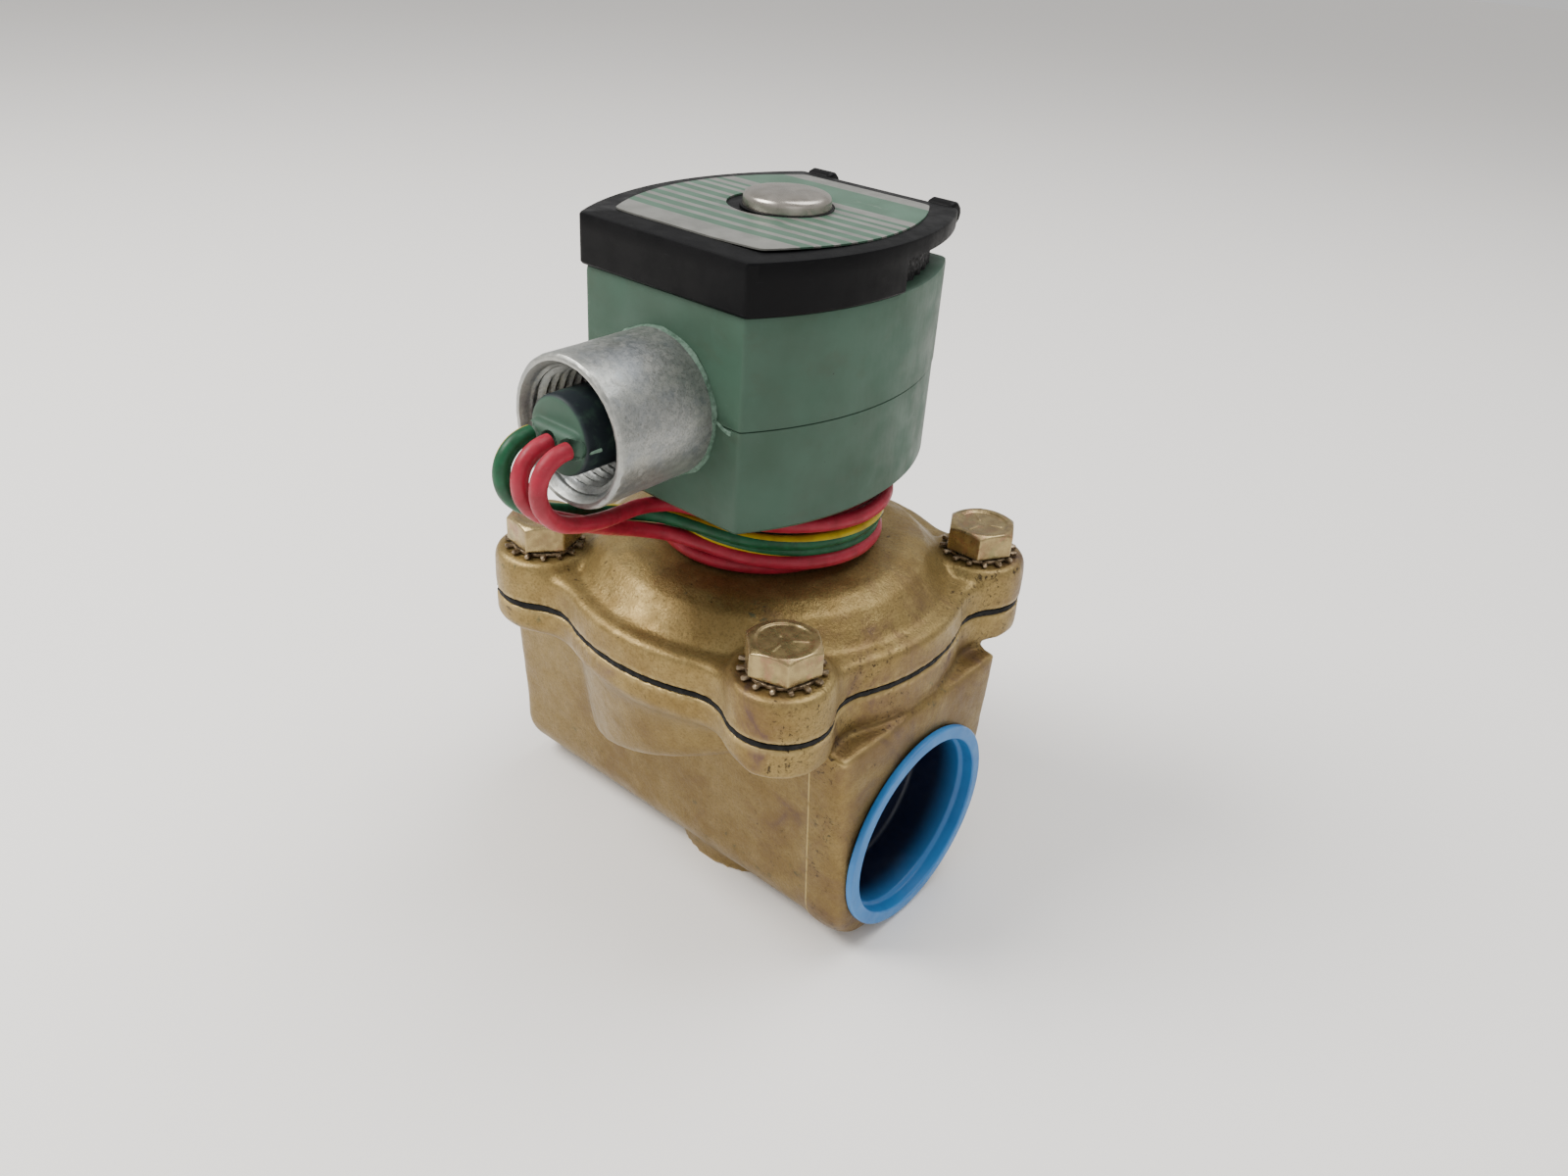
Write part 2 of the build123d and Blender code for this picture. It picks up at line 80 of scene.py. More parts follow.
# ---------------------------------------------------------------- camera
AZIMUTH, ELEVATION, ROLL = (math.radians(a) for a in (38.35, 30.68, 4.2))
LENS, SENSOR, AIM, DISTANCE = 27.57, 36.0, (5.52, 0.0, 62.05), 243.35
flat = math.cos(ELEVATION)
back = Vector((math.sin(AZIMUTH) * flat, -math.cos(AZIMUTH) * flat, math.sin(ELEVATION)))
level = back.cross(Vector((0, 0, -1))).normalized()
upright = level.cross(-back)
side = level * math.cos(ROLL) + upright * math.sin(ROLL)
top = upright * math.cos(ROLL) - level * math.sin(ROLL)
camera = bpy.data.objects.new("camera", bpy.data.cameras.new("camera"))
camera.data.lens = LENS
camera.data.sensor_width = SENSOR
camera.data.clip_start = 0.01
camera.matrix_world = Matrix((side, top, back)).transposed().to_4x4()
camera.location = (Vector(AIM) + back * DISTANCE) * MM
bpy.context.scene.collection.objects.link(camera)
bpy.context.scene.camera = camera


# ---------------------------------------------------------------- node materials
def linear(*colour):
    """Display colour to the linear colour that shaders take."""
    return tuple(c / 12.92 if c <= 0.04045 else ((c + 0.055) / 1.055) ** 2.4 for c in colour) + (1.0,)


class Paint:
    """A node material. Sizes in its textures are millimetres of the row frame."""

    def __init__(self, name, **shader):
        self.material = bpy.data.materials.new(name)
        self.material.use_nodes = True
        self.tree = self.material.node_tree
        self.shader = next(n for n in self.tree.nodes if n.type == "BSDF_PRINCIPLED")
        coordinates = self.tree.nodes.new("ShaderNodeTexCoord").outputs["Object"]
        self.place = self.vector("SCALE", coordinates, Scale=1 / MM)
        self.set(**shader)

    def set(self, **shader):
        for key, value in shader.items():
            self.put(self.shader.inputs[key.replace("_", " ")], value)
        return self

    def put(self, socket, value):
        if isinstance(value, bpy.types.NodeSocket):
            self.tree.links.new(value, socket)
        else:
            socket.default_value = value

    def new(self, kind, settings=(), **inputs):
        made = self.tree.nodes.new(kind)
        for key, value in dict(settings).items():
            setattr(made, key, value)
        for key, value in inputs.items():
            self.put(made.inputs[key.replace("_", " ")], value)
        return made

    def vector(self, operation, first, second=None, **inputs):
        made = self.new("ShaderNodeVectorMath", {"operation": operation}, **inputs)
        self.put(made.inputs[0], first)
        if second is not None:
            self.put(made.inputs[1], second)
        return made.outputs["Vector"]

    def math(self, operation, first, second=0.0):
        made = self.new("ShaderNodeMath", {"operation": operation})
        self.put(made.inputs[0], first)
        self.put(made.inputs[1], second)
        return made.outputs[0]

    def times(self, first, second):
        return self.math("MULTIPLY", first, second)

    def plus(self, first, second):
        return self.math("ADD", first, second)

    def noise(self, size, detail=3.0, rough=0.55, stretch=None, warp=0.0):
        """Soft noise from 0 to 1 whose features are about size across."""
        place = self.place if stretch is None else self.vector("DIVIDE", self.place, stretch)
        return self.new("ShaderNodeTexNoise", Vector=place, Scale=1 / size, Detail=detail, Roughness=rough,
                        Distortion=warp).outputs["Fac"]

    def ramp(self, value, low, high, start=0.0, end=1.0):
        """value from low to high becomes start to end, eased."""
        made = self.new("ShaderNodeMapRange", {"interpolation_type": "SMOOTHSTEP"}, Value=value)
        for index, number in enumerate((low, high, start, end), 1):
            made.inputs[index].default_value = number
        return made.outputs["Result"]

    def mix(self, factor, first, second):
        made = self.new("ShaderNodeMix", {"data_type": "RGBA"})
        for index, value in ((0, factor), (6, first), (7, second)):
            self.put(made.inputs[index], value)
        return made.outputs[2]

    def over(self, tone, colour, share):
        """tone with a colour laid over it."""
        return self.mix(share, tone, linear(*colour))

    def shades(self, first, second, low, high, *texture, **more):
        """Two colours that change over where noise passes from low to high."""
        return self.over(linear(*first), second, self.ramp(self.noise(*texture, **more), low, high))

    def stain(self, tone, colour, low, high, share, *texture, **more):
        """A colour laid over tone, up to share, where noise passes from low to high."""
        return self.over(tone, colour, self.ramp(self.noise(*texture, **more), low, high, 0, share))

    def uneven(self, first, second, *texture):
        """A number that wanders from first to second."""
        return self.ramp(self.noise(*texture), 0.3, 0.7, first, second)

    def bump(self, height, distance, strength=1.0, under=None):
        made = self.new("ShaderNodeBump", Height=height, Distance=distance * MM, Strength=strength)
        if under is not None:
            self.put(made.inputs["Normal"], under)
        return made.outputs["Normal"]

    def grain(self, distance, strength, *texture, under=None, **more):
        """Bumps of noise, over other bumps if given."""
        return self.bump(self.noise(*texture, **more), distance, strength, under)

    def finish(self, tone, rough, normal):
        return self.set(Base_Color=tone, Roughness=rough, Normal=normal)

    def pointed(self, low, high):
        """Ramp on how sharp a dense mesh is: above 0.5 on outside edges, below in corners."""
        return self.ramp(self.new("ShaderNodeNewGeometry").outputs["Pointiness"], low, high)

    def edge(self):
        return self.pointed(0.505, 0.56)

    def axis(self, letter):
        return self.new("ShaderNodeSeparateXYZ", Vector=self.place).outputs[letter]


def cast_brass():
    p = Paint("aged_cast_brass", Metallic=0.68, Specular_IOR_Level=0.3)
    tone = p.shades((0.575, 0.490, 0.305), (0.505, 0.415, 0.240), 0.36, 0.66, 15, 4, 0.6)
    tone = p.stain(tone, (0.67, 0.585, 0.39), 0.45, 0.75, 0.45, 3.2, 5, 0.7)
    tone = p.stain(tone, (0.37, 0.30, 0.165), 0.46, 0.66, 0.42, 0.45, 2, 0.6)
    # brown and purple heat tarnish, heavier toward the outlet
    reach = p.ramp(p.axis("X"), 8.0, 46.0, 0.0, 0.15)
    tarnish = p.plus(p.noise(15, 6, 0.68, warp=0.7), reach)
    tone = p.over(tone, (0.44, 0.345, 0.24), p.ramp(tarnish, 0.58, 0.72, 0, 0.6))
    tone = p.over(tone, (0.36, 0.275, 0.265), p.ramp(tarnish, 0.69, 0.80, 0, 0.7))
    # painted shade: the walls below the flange are painted darker than the bonnet
    tone = p.over(tone, (0.37, 0.295, 0.165), p.ramp(p.axis("Z"), 58.0, 50.0, 0, 0.34))
    # painted shade darkens the hollows; the edges are lighter where worn
    tone = p.over(tone, (0.25, 0.19, 0.12), p.times(p.pointed(0.495, 0.44), 0.6))
    tone = p.over(tone, (0.76, 0.66, 0.44), p.times(p.edge(), 0.6))
    # dark pits, most of them on the band behind the outlet face, scars and a little verdigris
    band = p.times(p.ramp(p.axis("X"), 34.6, 36.0), p.ramp(p.axis("X"), 42.6, 40.0))
    pits = p.ramp(p.plus(p.noise(1.0, 4, 0.75, warp=0.5), p.times(band, 0.05)), 0.60, 0.68)
    patches = p.ramp(p.plus(p.noise(9, 3, 0.5), p.times(band, 0.10)), 0.50, 0.62)
    tone = p.over(tone, (0.18, 0.14, 0.11), p.times(p.times(pits, patches), 0.85))
    scars = p.ramp(p.noise(1.5, 3, 0.6, stretch=(2.2, 2.2, 0.8)), 0.70, 0.76)
    scars = p.times(scars, p.ramp(p.noise(11, 2), 0.5, 0.58))
    tone = p.over(tone, (0.22, 0.18, 0.16), p.times(scars, 0.75))
    green = p.times(p.ramp(p.noise(2.0, 4, 0.7), 0.58, 0.70), p.ramp(p.noise(21, 2, 0.5), 0.56, 0.66))
    tone = p.over(tone, (0.24, 0.30, 0.24), p.times(green, 0.7))
    # a slightly raised line runs up each side near the outlet; its light colour is a painted highlight
    away = p.math("ABSOLUTE", p.math("SUBTRACT", p.axis("X"), 34.4))
    line = p.times(p.ramp(away, 0.36, 0.08), p.ramp(p.axis("Z"), 49.5, 47.5))
    line = p.times(line, p.ramp(p.noise(2.5, 3, 0.6), 0.32, 0.5, 0.35, 1.0))
    # painted highlight along the raised line
    tone = p.over(tone, (0.76, 0.67, 0.45), p.times(line, 0.75))
    grain = p.grain(0.12, 0.8, 0.5, 3, 0.65)
    drag = p.grain(0.06, 0.5, 0.8, 2, 0.6, stretch=(1, 1, 7), under=grain)
    scratches = p.grain(0.03, 0.4, 1.0, 2, 0.5, stretch=(9, 9, 0.6), under=drag)
    ridge = p.bump(line, 0.5, 0.8, scratches)
    return p.finish(tone, p.ramp(p.noise(4, 5, 0.7), 0.3, 0.75, 0.36, 0.55),
                    p.grain(0.3, 0.5, 5, 3, 0.55, under=ridge))


def turned_metal(name, light, dark, rough=(0.22, 0.40)):
    """Turned or drawn metal with fine rings about Z and dull patches."""
    p = Paint(name, Metallic=1.0)
    rings = p.noise(0.35, 2, 0.5, stretch=(30, 30, 0.6))
    return p.finish(p.shades(light, dark, 0.35, 0.7, 3.5, 4, 0.6), p.uneven(*rough, 2.0, 4, 0.6),
                    p.bump(rings, 0.02, 0.4))


def yellow_zinc():
    p = Paint("yellow_zinc", Metallic=0.72, Specular_IOR_Level=0.4)
    tone = p.shades((0.66, 0.58, 0.40), (0.54, 0.46, 0.32), 0.35, 0.65, 3.0, 4, 0.6)
    tone = p.stain(tone, (0.62, 0.44, 0.35), 0.52, 0.68, 0.5, 4.0, 3, 0.55, warp=0.8)
    tone = p.stain(tone, (0.48, 0.49, 0.34), 0.55, 0.68, 0.45, 6.0, 3, 0.55, warp=0.5)
    tone = p.stain(tone, (0.24, 0.20, 0.15), 0.64, 0.74, 0.7, 0.7, 3, 0.7)
    tone = p.over(tone, (0.78, 0.72, 0.54), p.times(p.edge(), 0.4))
    return p.finish(tone, p.uneven(0.20, 0.42, 1.6, 4, 0.6), p.grain(0.04, 0.5, 0.5, 3, 0.6))


def spring_steel():
    p = Paint("oiled_spring_steel", Metallic=0.7)
    tone = p.shades((0.62, 0.55, 0.45), (0.33, 0.27, 0.20), 0.4, 0.65, 1.2, 3, 0.6)
    return p.finish(tone, p.uneven(0.28, 0.5, 0.8, 3, 0.6), p.grain(0.02, 0.5, 0.3, 2, 0.6))


def galvanised():
    p = Paint("galvanised_steel", Metallic=0.72, Specular_IOR_Level=0.4)
    cells = p.new("ShaderNodeTexVoronoi", Vector=p.place, Scale=1 / 0.8, Randomness=1.0)
    spangle = p.new("ShaderNodeRGBToBW", Color=cells.outputs["Color"]).outputs[0]
    tone = p.over(linear(0.565, 0.575, 0.565), (0.625, 0.63, 0.615), p.ramp(spangle, 0.25, 0.75))
    tone = p.stain(tone, (0.43, 0.43, 0.41), 0.48, 0.64, 0.5, 0.4, 3, 0.7)
    tone = p.stain(tone, (0.46, 0.49, 0.53), 0.48, 0.66, 0.40, 8.0, 3, 0.6)
    # long light streaks along the hub axis: painted highlights
    tone = p.stain(tone, (0.70, 0.70, 0.66), 0.55, 0.7, 0.3, 6.0, 4, 0.6, stretch=(1, 1.8, 1))
    mouth = p.ramp(p.axis("Y"), HUB_LOW[1] + 1.6, HUB_LOW[1] + 0.2)
    tone = p.over(tone, (0.72, 0.72, 0.69), p.times(mouth, 0.35))
    tone = p.stain(tone, (0.36, 0.31, 0.26), 0.64, 0.74, 0.45, 1.4, 4, 0.75)
    flake = p.bump(spangle, 0.02, 0.6)
    return p.finish(tone, p.plus(p.uneven(0.30, 0.44, 1.2, 4, 0.65), p.times(spangle, 0.08)),
                    p.grain(0.04, 0.6, 0.6, 3, 0.65, under=flake))


def green_epoxy(name="sage_epoxy", stained=False):
    p = Paint(name, Metallic=0.0, Specular_IOR_Level=0.26)
    tone = p.shades((0.245, 0.350, 0.292), (0.225, 0.315, 0.258), 0.35, 0.68, 16, 4, 0.55)
    tone = p.stain(tone, (0.275, 0.375, 0.325), 0.55, 0.78, 0.3, 5, 5, 0.7)
    dust = p.times(p.ramp(p.noise(9, 4, 0.65, stretch=(1, 1, 0.7)), 0.55, 0.75), 0.25)
    tone = p.over(tone, (0.25, 0.28, 0.22), dust)
    tone = p.over(tone, (0.11, 0.12, 0.11), p.times(p.ramp(p.noise(0.8, 2, 0.6), 0.74, 0.79), 0.7))
    tone = p.stain(tone, (0.40, 0.48, 0.43), 0.72, 0.8, 0.22, 0.6, 2, 0.5, stretch=(6, 6, 0.5))
    if stained:
        # the round side of the stub is stained nearly black, its face stays green
        away = p.vector("MULTIPLY", p.vector("SUBTRACT", p.place, (0, 0, HUB_Z)), (1, 0, 1))
        reach = p.new("ShaderNodeVectorMath", {"operation": "LENGTH"}, Vector=away).outputs["Value"]
        patchy = p.ramp(p.noise(3.0, 4, 0.65), 0.30, 0.52, 0.55, 0.95)
        tone = p.over(tone, (0.11, 0.13, 0.16), p.times(p.ramp(reach, 6.1, 6.6), patchy))
    fine = p.grain(0.012, 0.5, 0.25, 2, 0.6)
    return p.finish(tone, p.uneven(0.42, 0.60, 7, 4, 0.6), p.grain(0.05, 0.5, 3.5, 3, 0.5, under=fine))


def flash_green():
    p = Paint("flash_green", Metallic=0.0)
    tone = p.shades((0.37, 0.47, 0.41), (0.25, 0.35, 0.29), 0.35, 0.7, 0.8, 3, 0.6)
    return p.finish(tone, p.uneven(0.5, 0.7, 1, 3), p.grain(0.08, 0.6, 0.5, 3))


def black_plastic():
    p = Paint("black_plastic", Metallic=0.0, Specular_IOR_Level=0.11)
    tone = p.shades((0.030, 0.030, 0.038), (0.045, 0.045, 0.052), 0.35, 0.7, 8, 4, 0.6)
    tone = p.stain(tone, (0.18, 0.18, 0.18), 0.68, 0.8, 0.2, 0.7, 3, 0.7)
    tone = p.stain(tone, (0.20, 0.20, 0.21), 0.7, 0.8, 0.3, 0.5, 2, 0.5, stretch=(8, 8, 0.4))
    return p.finish(tone, p.uneven(0.38, 0.56, 4, 4, 0.65), p.grain(0.02, 0.5, 0.35, 2, 0.6))


def rough_fill():
    p = Paint("rough_fill", Metallic=0.0, Specular_IOR_Level=0.25)
    tone = p.shades((0.05, 0.05, 0.055), (0.15, 0.145, 0.15), 0.35, 0.7, 0.9, 4, 0.7)
    return p.finish(tone, p.uneven(0.45, 0.8, 1, 3), p.grain(0.35, 0.8, 0.8, 4, 0.7))


def nitrile():
    p = Paint("nitrile_rubber", Metallic=0.0, Specular_IOR_Level=0.2)
    tone = p.shades((0.045, 0.045, 0.045), (0.10, 0.10, 0.095), 0.4, 0.7, 2.5, 4, 0.65)
    return p.finish(tone, p.uneven(0.55, 0.8, 1.5, 3), p.grain(0.05, 0.6, 0.5, 3, 0.6))


def printed_plate():
    """Brushed plate with plain printed stripes along X and one broad band at the back."""
    p = Paint("printed_plate", Specular_IOR_Level=0.5)
    y = p.axis("Y")
    ink = None
    stripes = [(-19.6 + 3.6 * k, -17.1 + 3.6 * k) for k in range(6)] + [(2.0, 3.6), (5.0, 6.6), (8.9, 18.9)]
    for low, high in stripes:
        fade = p.math("SUBTRACT", 1.0, p.ramp(y, high - 0.25, high))
        bar = p.times(p.ramp(y, low, low + 0.25), fade)
        ink = bar if ink is None else p.math("MAXIMUM", ink, bar)
    ink = p.times(ink, p.ramp(p.noise(1.6, 5, 0.7, stretch=(2.5, 1, 1)), 0.24, 0.42, 0.75, 1.0))
    metal = p.shades((0.56, 0.56, 0.54), (0.49, 0.49, 0.47), 0.35, 0.7, 5, 4, 0.6)
    green = p.shades((0.22, 0.34, 0.27), (0.27, 0.385, 0.32), 0.35, 0.7, 6, 4, 0.6)
    tone = p.stain(p.mix(ink, metal, green), (0.36, 0.37, 0.34), 0.62, 0.76, 0.5, 0.8, 4, 0.75)
    brush = p.noise(0.3, 2, 0.6, stretch=(40, 1, 1))
    p.set(Metallic=p.ramp(ink, 0.1, 0.6, 0.55, 0.0))
    return p.finish(tone, p.plus(p.uneven(0.32, 0.44, 3, 4), p.times(ink, 0.08)), p.bump(brush, 0.012, 0.5))


def lead_skin(name, main, dark, scuff):
    p = Paint(name, Metallic=0.0, Specular_IOR_Level=0.35)
    tone = p.shades(main, dark, 0.35, 0.7, 3.5, 4, 0.6)
    tone = p.stain(tone, scuff, 0.56, 0.76, 0.5, 1.3, 5, 0.75)
    tone = p.stain(tone, (0.22, 0.12, 0.12), 0.68, 0.8, 0.5, 0.5, 3, 0.7)
    return p.finish(tone, p.uneven(0.38, 0.56, 2, 4), p.grain(0.03, 0.5, 0.6, 3))


def blue_polythene():
    p = Paint("blue_polythene", Metallic=0.0, Subsurface_Weight=0.08, Subsurface_Radius=(0.002, 0.004, 0.007),
              Specular_IOR_Level=0.45)
    tone = p.shades((0.17, 0.47, 0.72), (0.14, 0.43, 0.68), 0.35, 0.7, 9, 4, 0.55)
    tone = p.stain(tone, (0.36, 0.60, 0.78), 0.66, 0.8, 0.3, 0.9, 4, 0.7)
    # little light gets down into the cup
    tone = p.over(tone, (0.015, 0.05, 0.15), p.ramp(p.axis("X"), PLUG_HIGH[0] - 0.4, PLUG_LOW[0] + 7.0))
    return p.finish(tone, p.uneven(0.36, 0.5, 3, 4), p.grain(0.03, 0.5, 1.2, 3))


def nylon():
    p = Paint("natural_nylon", Metallic=0.0)
    tone = p.shades((0.86, 0.84, 0.78), (0.78, 0.75, 0.68), 0.35, 0.7, 3, 4, 0.6)
    return p.finish(tone, p.uneven(0.4, 0.6, 2, 3), p.grain(0.02, 0.5, 0.4, 2))


def copper_wire():
    """Layers of fine enamelled wire wound about Z."""
    p = Paint("enamelled_copper", Metallic=0.9)
    wave = p.new("ShaderNodeTexWave", {"bands_direction": "Z"}, Vector=p.place, Scale=1.6, Distortion=0.2)
    turns = wave.outputs["Fac"]
    tone = p.over(linear(0.45, 0.20, 0.10), (0.80, 0.47, 0.30), turns)
    return p.finish(tone, p.uneven(0.25, 0.4, 1, 3), p.bump(turns, 0.1, 0.8))


PAINT = {
    "cast_brass": cast_brass(),
    "turned_brass": turned_metal("turned_brass", (0.80, 0.68, 0.42), (0.66, 0.52, 0.30)),
    "stainless": turned_metal("turned_stainless", (0.72, 0.71, 0.69), (0.58, 0.57, 0.55)),
    "polished_stainless": turned_metal("satin_stainless", (0.70, 0.675, 0.64), (0.62, 0.595, 0.56),
                                       (0.24, 0.36)),
    "spring_steel": spring_steel(),
    "yellow_zinc_steel": yellow_zinc(),
    "zinc_steel": turned_metal("zinc_plate", (0.66, 0.67, 0.68), (0.52, 0.53, 0.55), (0.3, 0.45)),
    "galvanised_steel": galvanised(),
    "copper": copper_wire(),
    "nitrile": nitrile(),
    "green_epoxy": green_epoxy(),
    "black_fill": rough_fill(),
    "black_plastic": black_plastic(),
    "white_nylon": nylon(),
    "printed_aluminium": printed_plate(),
    "red_insulation": lead_skin("red_insulation", (0.62, 0.12, 0.205), (0.53, 0.085, 0.155),
                                (0.60, 0.26, 0.31)),
    "green_insulation": lead_skin("green_insulation", (0.05, 0.33, 0.20), (0.03, 0.25, 0.14),
                                  (0.16, 0.38, 0.27)),
    "blue_polythene": blue_polythene(),
}
STAINED_EPOXY = green_epoxy("stained_epoxy", True)
YELLOW_STRIPE = lead_skin("yellow_stripe", (0.74, 0.66, 0.10), (0.64, 0.54, 0.08), (0.70, 0.66, 0.30))
FLASH = flash_green()
SLOT_OF = {s["node"]: s["material_slot"] for s in frame["record"]["subparts"]}
BODY_OF = {n: body for body, nodes in frame["record"]["behaviour"]["bodies"].items() for n in nodes}
for node, obj in frame["nodes"].items():
    obj.data.materials.clear()
    obj.data.materials.append(PAINT[SLOT_OF[node]].material)


# ---------------------------------------------------------------- mesh helpers
def piece(name, co, faces, node, replaces=(), paints=None, face_paint=None, crease=32.0, tidy=True):
    """A finished mesh piece that rides on its node's body and takes its node's slot."""
    mesh = bpy.data.meshes.new(name)
    mesh.from_pydata((np.asarray(co, float) * MM).tolist(), [], faces)
    if tidy:
        work = bmesh.new()
        work.from_mesh(mesh)
        bmesh.ops.remove_doubles(work, verts=work.verts, dist=0.004 * MM)
        bmesh.ops.recalc_face_normals(work, faces=work.faces)
        work.to_mesh(mesh)
        work.free()
    for paint in paints or [PAINT[SLOT_OF[node]]]:
        mesh.materials.append(paint.material)
    if face_paint is not None:
        mesh.polygons.foreach_set("material_index", np.asarray(face_paint, np.int32))
    mesh.polygons.foreach_set("use_smooth", np.ones(len(mesh.polygons), bool))
    mesh.set_sharp_from_angle(angle=math.radians(crease))
    obj = bpy.data.objects.new(name, mesh)
    bpy.context.scene.collection.objects.link(obj)
    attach(obj, BODY_OF[node])
    if replaces:
        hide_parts(*replaces)
    return obj


def grid(rows, columns, close_rows=False, close_columns=True):
    """Quads of a grid of points stored row by row."""
    faces = []
    for i in range(rows if close_rows else rows - 1):
        a, b = i * columns, (i + 1) % rows * columns
        for j in range(columns if close_columns else columns - 1):
            k = (j + 1) % columns
            faces.append((a + j, a + k, b + k, b + j))
    return faces


def capped(rows, columns):
    """Quads of a tube of rings, closed at both ends."""
    last = (rows - 1) * columns
    return grid(rows, columns) + [tuple(range(columns)), tuple(range(last, last + columns))[::-1]]


def ring_of(radii, height):
    """Points of one ring given as radii at equal angles."""
    angle = np.linspace(0, 2 * math.pi, len(radii), endpoint=False)
    return np.stack((radii * np.cos(angle), radii * np.sin(angle), np.broadcast_to(height, radii.shape)), 1)


def around(r, across, turn):
    """x and y of a point at radius r in a direction, moved sideways by across."""
    return r * math.cos(turn) - across * math.sin(turn), r * math.sin(turn) + across * math.cos(turn)


def join(*parts):
    """Several (points, faces) as one."""
    points, faces, start = [], [], 0
    for co, fs in parts:
        points.append(np.asarray(co, float))
        faces += [tuple(v + start for v in f) for f in fs]
        start += len(co)
    return np.concatenate(points), faces


def rounded(points, radius=0.3, steps=4, closed=True):
    """A polygon with each corner (x, y) or (x, y, radius) replaced by a curve."""
    out = []
    count = len(points)
    for i, point in enumerate(points):
        here = np.array(point[:2], float)
        size = point[2] if len(point) > 2 else radius
        if (not closed and i in (0, count - 1)) or size <= 0:
            out.append(here)
            continue
        before = np.array(points[i - 1][:2], float) - here
        after = np.array(points[(i + 1) % count][:2], float) - here
        a = here + before / np.linalg.norm(before) * min(size, 0.45 * np.linalg.norm(before))
        b = here + after / np.linalg.norm(after) * min(size, 0.45 * np.linalg.norm(after))
        for k in range(steps + 1):
            t = k / steps
            out.append((1 - t) ** 2 * a + 2 * t * (1 - t) * here + t * t * b)
    return np.array(out)


def lathe(profile, axis, count, centre=(0, 0, 0), ripple=None):
    """Spins a loop of (radius, height) about an axis. ripple(angles, radius, height) adds to the radius."""
    angle = np.linspace(0, 2 * math.pi, count, endpoint=False)
    rows = []
    for radius, height in profile:
        r = np.full(count, float(radius))
        if ripple is not None:
            r = r + ripple(angle, radius, height)
        a, b, h = r * np.cos(angle), r * np.sin(angle), np.full(count, float(height))
        rows.append(np.stack({"Z": (a, b, h), "X": (h, a, b), "Y": (a, h, b)}[axis], 1) + centre)
    return np.concatenate(rows), grid(len(rows), count, close_rows=True)


def polar(polygon, count):
    """Radius of a star-shaped polygon at equal angles about the origin."""
    pts = np.asarray(polygon, float)
    nxt = np.roll(pts, -1, 0)
    radii = []
    for angle in np.linspace(0, 2 * math.pi, count, endpoint=False):
        d = np.array([math.cos(angle), math.sin(angle)])
        e = nxt - pts
        cross = d[0] * e[:, 1] - d[1] * e[:, 0]
        with np.errstate(divide="ignore", invalid="ignore"):
            t = (pts[:, 0] * e[:, 1] - pts[:, 1] * e[:, 0]) / cross
            s = (pts[:, 0] * d[1] - pts[:, 1] * d[0]) / cross
        hit = (np.abs(cross) > 1e-12) & (s >= -1e-9) & (s <= 1 + 1e-9) & (t > 0)
        radii.append(t[hit].min() if hit.any() else 0.0)
    return np.array(radii)


def stack(levels):
    """Lofts rings given as (radii at equal angles, height), the last joined to the first."""
    rows = [ring_of(radii, height) for radii, height in levels]
    return np.concatenate(rows), grid(len(rows), len(levels[0][0]), close_rows=True)


def remeshed(co, faces, voxel):
    """One even-sized skin round some solids. Lengths are millimetres."""
    mesh = bpy.data.meshes.new("work")
    mesh.from_pydata(np.asarray(co).tolist(), [], faces)
    obj = bpy.data.objects.new("work", mesh)
    bpy.context.scene.collection.objects.link(obj)
    modifier = obj.modifiers.new("skin", "REMESH")
    modifier.mode = "VOXEL"
    modifier.voxel_size = voxel
    shaped = bpy.data.meshes.new_from_object(obj.evaluated_get(bpy.context.evaluated_depsgraph_get()))
    out = np.zeros(len(shaped.vertices) * 3)
    shaped.vertices.foreach_get("co", out)
    edges = np.zeros(len(shaped.edges) * 2, np.int64)
    shaped.edges.foreach_get("vertices", edges)
    quads = [tuple(p.vertices) for p in shaped.polygons]
    bpy.data.objects.remove(obj)
    bpy.data.meshes.remove(mesh)
    bpy.data.meshes.remove(shaped)
    return out.reshape(-1, 3), edges.reshape(-1, 2), quads


def relax(co, edges, share, rounds):
    """Evens a skin out. share is how far each point takes part, from 0 to 1."""
    count = len(co)
    a, b = edges[:, 0], edges[:, 1]
    degree = np.maximum(np.bincount(a, minlength=count) + np.bincount(b, minlength=count), 1)
    for _ in range(rounds):
        total = [np.bincount(a, c[b], count) + np.bincount(b, c[a], count) for c in co.T]
        co = co + 0.5 * share[:, None] * (np.stack(total, 1) / degree[:, None] - co)
    return co


def cad_mesh(node, keep=None):
    """(points in millimetres, faces) of a CAD node."""
    mesh = frame["nodes"][node].data
    co = np.zeros(len(mesh.vertices) * 3)
    mesh.vertices.foreach_get("co", co)
    co = co.reshape(-1, 3) / MM
    faces = [tuple(p.vertices) for p in mesh.polygons]
    if keep is not None:
        good = keep(co)
        faces = [f for f in faces if all(good[v] for v in f)]
    return co, faces


def ease(value, low, high):
    t = np.clip((value - low) / (high - low), 0, 1)
    return t * t * (3 - 2 * t)


def rough_field(co, size, seed=0.0):
    """Smooth noise from -1 to 1 at each point."""
    return np.array([noise.noise(Vector(p) / size + Vector((seed, 0, 0))) for p in co])


# ---------------------------------------------------------------- leads
LEAD_D = 2.9
LEAD_LENGTH = 457.0
STUB_Y, LEDGE_Y, LEAD_TOP = -52.5, STUB_LOW[1], 108.6
LEADS = {"lead_red_right": (4.8, 0), "lead_ground": (-4.0, 1), "lead_red_left": (0.4, 2)}


